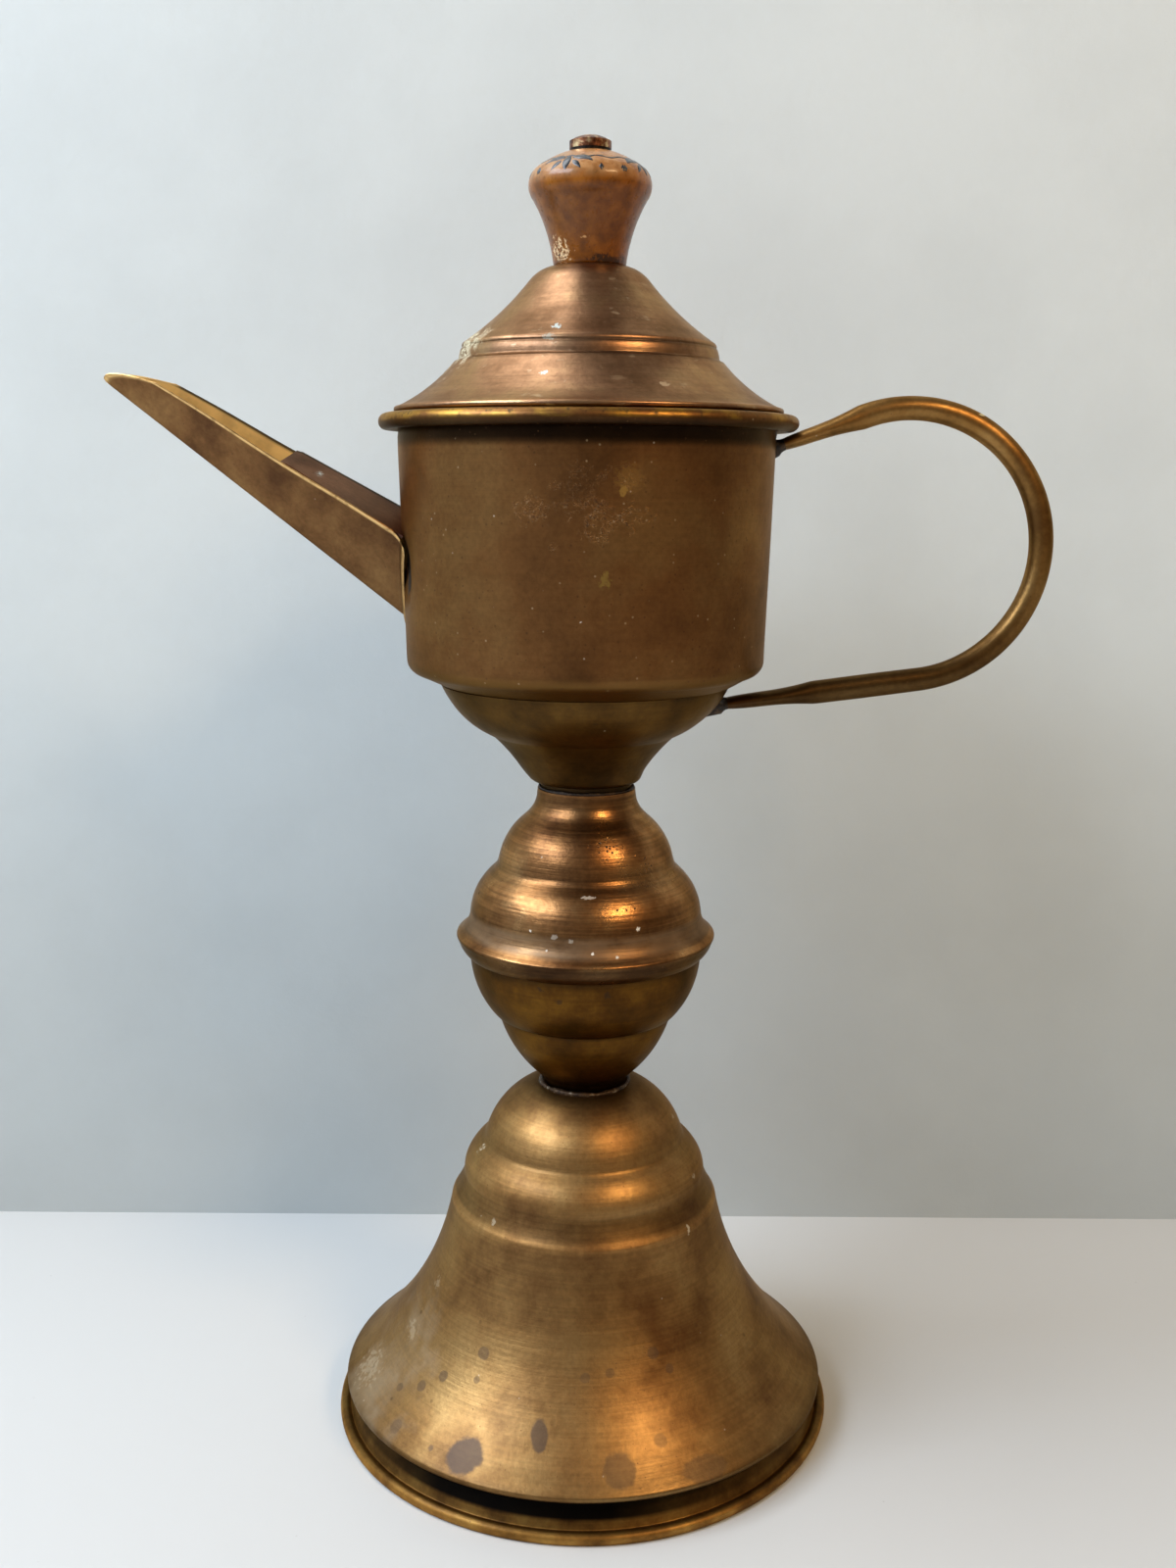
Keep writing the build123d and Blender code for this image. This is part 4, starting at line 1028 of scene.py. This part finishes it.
def strokes(name, lines, material):
    """Brush strokes as closed ribbons: each line gives angles, runs and half widths along it."""
    points, faces, first = [], [], 0
    for turn, run, half in lines:
        girth = np.interp(run, crown_run, crown[:, 0])
        along_t, along_r = np.gradient(turn) * girth, np.gradient(run)
        size = np.maximum(np.hypot(along_t, along_r), 1e-9)
        side_t, side_r = -along_r / size / girth, along_t / size
        t = turn[:, None] + side_t[:, None] * half[:, None] * STROKE[:, 0]
        s = run[:, None] + side_r[:, None] * half[:, None] * STROKE[:, 0]
        points.append(shoulder(t, s, np.broadcast_to(STROKE[:, 1], t.shape)).reshape(-1, 3))
        faces += tube_faces(len(turn), len(STROKE), first)
        first += len(turn) * len(STROKE)
    piece(name, tidy_mesh(name, np.concatenate(points), faces, 60), "knob", material)


# Four sprigs, each a middle leaf between two pairs of side leaves, with dots in the gaps and a wavy band
u = np.linspace(0, 1, 36)
dot = np.linspace(-1, 1, 9)
leaf_half = 0.06 + np.sin(np.pi * u) ** 0.8
side_run = 5.6 + 1.5 * np.sin(np.pi * 0.6 * u) - 3.0 * u ** 2
sprig_lines = []
for sprig in np.radians(-114 + 90 * np.arange(4)):
    sprig_lines.append((sprig + 0 * u, 1.6 + 5.6 * u, 1.5 * leaf_half * (1 - 0.4 * u)))
    for hand in (-1, 1):
        sprig_lines += [
            (sprig + hand * (0.08 + 0.38 * u), side_run, 1.9 * leaf_half * (1 - 0.35 * u)),
            (sprig + hand * (0.1 + 0.16 * u), 4.2 - 2.4 * u ** 1.5, 0.9 * leaf_half * (1 - 0.3 * u))]
    for step in (-0.55, 0.6, 0.98):
        sprig_lines.append((sprig + step + 0 * dot, 2.3 + 0.95 * dot, 0.05 + 0.75 * (1 - np.abs(dot))))
whole = np.linspace(0, 2 * np.pi, 240)
sprig_lines.append((whole, 6.4 + 0.5 * np.sin(12 * whole), 0.42 + 0.12 * np.sin(31 * whole)))
strokes("knob_sprigs", sprig_lines, paint)

# Screw, washers, nut and the hidden seams keep their CAD solids
for finish, *nodes in (
        (screw_brass, "knob_screw"), (dark_steel, "head_washer", "lid_washer", "knob_nut"),
        (solder, "base_solder", "bowl_solder", "skirt_solder")):
    for node in nodes:
        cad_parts[node].data.materials.clear()
        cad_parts[node].data.materials.append(finish)


# Floor, wall, lights and camera

STAGE_R = 3.0
WALL_Y, WALL_H = 0.112, 0.62
WALL_GLOW = 0.06


def stage_sheet(name, corners, material):
    """Flat sheet of the stage, its corners in metres."""
    mesh = bpy.data.meshes.new(name)
    mesh.from_pydata(corners, [], [(0, 1, 2, 3)])
    mesh.materials.append(material)
    placed(name, mesh)


# Painted table top: plain, pale and dull, with a little dust.
table = Finish("painted_table", "#d6d8d6", 0.7, 0.0)
table.layer((table.specks(9.0, 0.35, 0.25), 0.25), "#8f887d")
table_paint = table.done()
stage_sheet("floor", [(STAGE_R * x, STAGE_R * y, 0) for x, y in ((-1, -1), (1, -1), (1, 1), (-1, 1))],
            table_paint)

# Painted wall close behind the lamp: pale, with painted shade that darkens it towards the table, and as pale
# in the metal that mirrors it. Its back is clear to the camera, so that it never hides the lamp.
plaster = Finish("painted_wall", "#d1dadb", 0.75, 0.0)
# Painted shade: the wall darkens towards the table.
plaster.shade(plaster.graded(plaster.height, ((0, 0.7), (110, 0.8), (230, 0.98), (400, 1.03)), MM))
plaster.shade(plaster.clouds(60.0, 0.3, 0.7, 3.0, dim=0.97, full=1.03))
plaster.raised(plaster.clouds(4.0, detail=3.0), 0.12)
wall_paint = plaster.done()
rays = add(plaster.tree, "LightPath").outputs
mirrored = add(plaster.tree, "Math", {0: rays["Is Glossy Ray"], 1: rays["Is Transmission Ray"]},
               operation="MAXIMUM").outputs[0]
shown_to = add(plaster.tree, "Math", {0: rays["Is Camera Ray"], 1: mirrored}, operation="MAXIMUM").outputs[0]
strength = add(plaster.tree, "Math", {0: shown_to, 1: WALL_GLOW}, operation="MULTIPLY").outputs[0]
pale = add(plaster.tree, "Emission", {"Color": linear("#dfe4e6"), "Strength": strength}).outputs[0]
front = add(plaster.tree, "AddShader", {0: plaster.shader.outputs[0], 1: pale}).outputs[0]
back = add(plaster.tree, "NewGeometry").outputs["Backfacing"]
seen_back = add(plaster.tree, "Math", {0: back, 1: rays["Is Camera Ray"]}, operation="MULTIPLY").outputs[0]
clear = add(plaster.tree, "BsdfTransparent").outputs[0]
either = add(plaster.tree, "MixShader", {0: seen_back, 1: front, 2: clear}).outputs[0]
plaster.tree.links.new(either, plaster.tree.nodes["Material Output"].inputs["Surface"])
stage_sheet("wall", [(-STAGE_R, WALL_Y, 0), (STAGE_R, WALL_Y, 0), (STAGE_R, WALL_Y, WALL_H),
                     (-STAGE_R, WALL_Y, WALL_H)], wall_paint)


AIM_Z = 0.18


def softbox(name, azimuth, elevation, distance, wide, high, power, colour):
    """Area light aimed at the lamp: azimuth from the camera's side towards +X, in degrees, metres, watts."""
    a, e = math.radians(azimuth), math.radians(elevation)
    aim = Vector((0, 0, AIM_Z))
    data = bpy.data.lights.new(name, "AREA")
    data.shape = "RECTANGLE"
    data.size, data.size_y = wide, high
    data.energy = power
    data.color = linear(colour)[:3]
    lamp = placed(name, data)
    lamp.location = aim + distance * Vector((
        math.sin(a) * math.cos(e), -math.cos(a) * math.cos(e), math.sin(e)))
    lamp.rotation_euler = (aim - lamp.location).to_track_quat("-Z", "Y").to_euler()


softbox("key", -63, 39, 1.3, 0.9, 0.4, 15.2, "#e0edff")
softbox("fill", 42, 40, 1.3, 0.42, 0.18, 5.6, "#ffd49c")
softbox("top", -112, 60, 1.0, 0.7, 0.7, 7.4, "#f6faff")

# The room: a cool window side on the left, a warm dim side on the right and a grey ceiling
ROOM_RIGHT, ROOM_LEFT = (0.2, 0.158, 0.108, 1), (0.46, 0.495, 0.55, 1)
ROOM_CEILING = (0.2, 0.197, 0.19, 1)
world = bpy.data.worlds.new("studio")
bpy.context.scene.world = world
world.use_nodes = True
sky = world.node_tree
aimed = add(sky, "SeparateXYZ", {0: add(sky, "TexCoord").outputs["Generated"]}).outputs
leftward = add(sky, "MapRange", {"Value": aimed[0], "From Min": 0.2, "From Max": -0.9}).outputs[0]
overhead = add(sky, "MapRange", {"Value": aimed[2], "From Min": 0.25, "From Max": 0.9}).outputs[0]
walls = add(sky, "Mix", {0: leftward, 6: ROOM_RIGHT, 7: ROOM_LEFT}, data_type="RGBA").outputs[2]
room = add(sky, "Mix", {0: overhead, 6: walls, 7: ROOM_CEILING}, data_type="RGBA").outputs[2]
sky.links.new(room, sky.nodes["Background"].inputs["Color"])

# The photograph's view: 425 mm in front of the axis, 268 mm up, tipped 11.1 degrees down, rolled 0.4
EYE, DOWN, ROLL = (0.00043, -0.425, 0.26775), 11.086, 0.378
SENSOR, FOCAL_PX, FRAME_PX = 36.0, 1596.2, 1600
lens = bpy.data.cameras.new("view")
lens.sensor_width = SENSOR
lens.lens = SENSOR * FOCAL_PX / FRAME_PX
lens.clip_start = 0.01
camera = placed("view", lens)
camera.matrix_world = (Matrix.Translation(EYE) @ Matrix.Rotation(math.radians(90 - DOWN), 4, "X")
                       @ Matrix.Rotation(math.radians(ROLL), 4, "Z"))
bpy.context.scene.camera = camera
bpy.context.scene.view_settings.view_transform = "Standard"
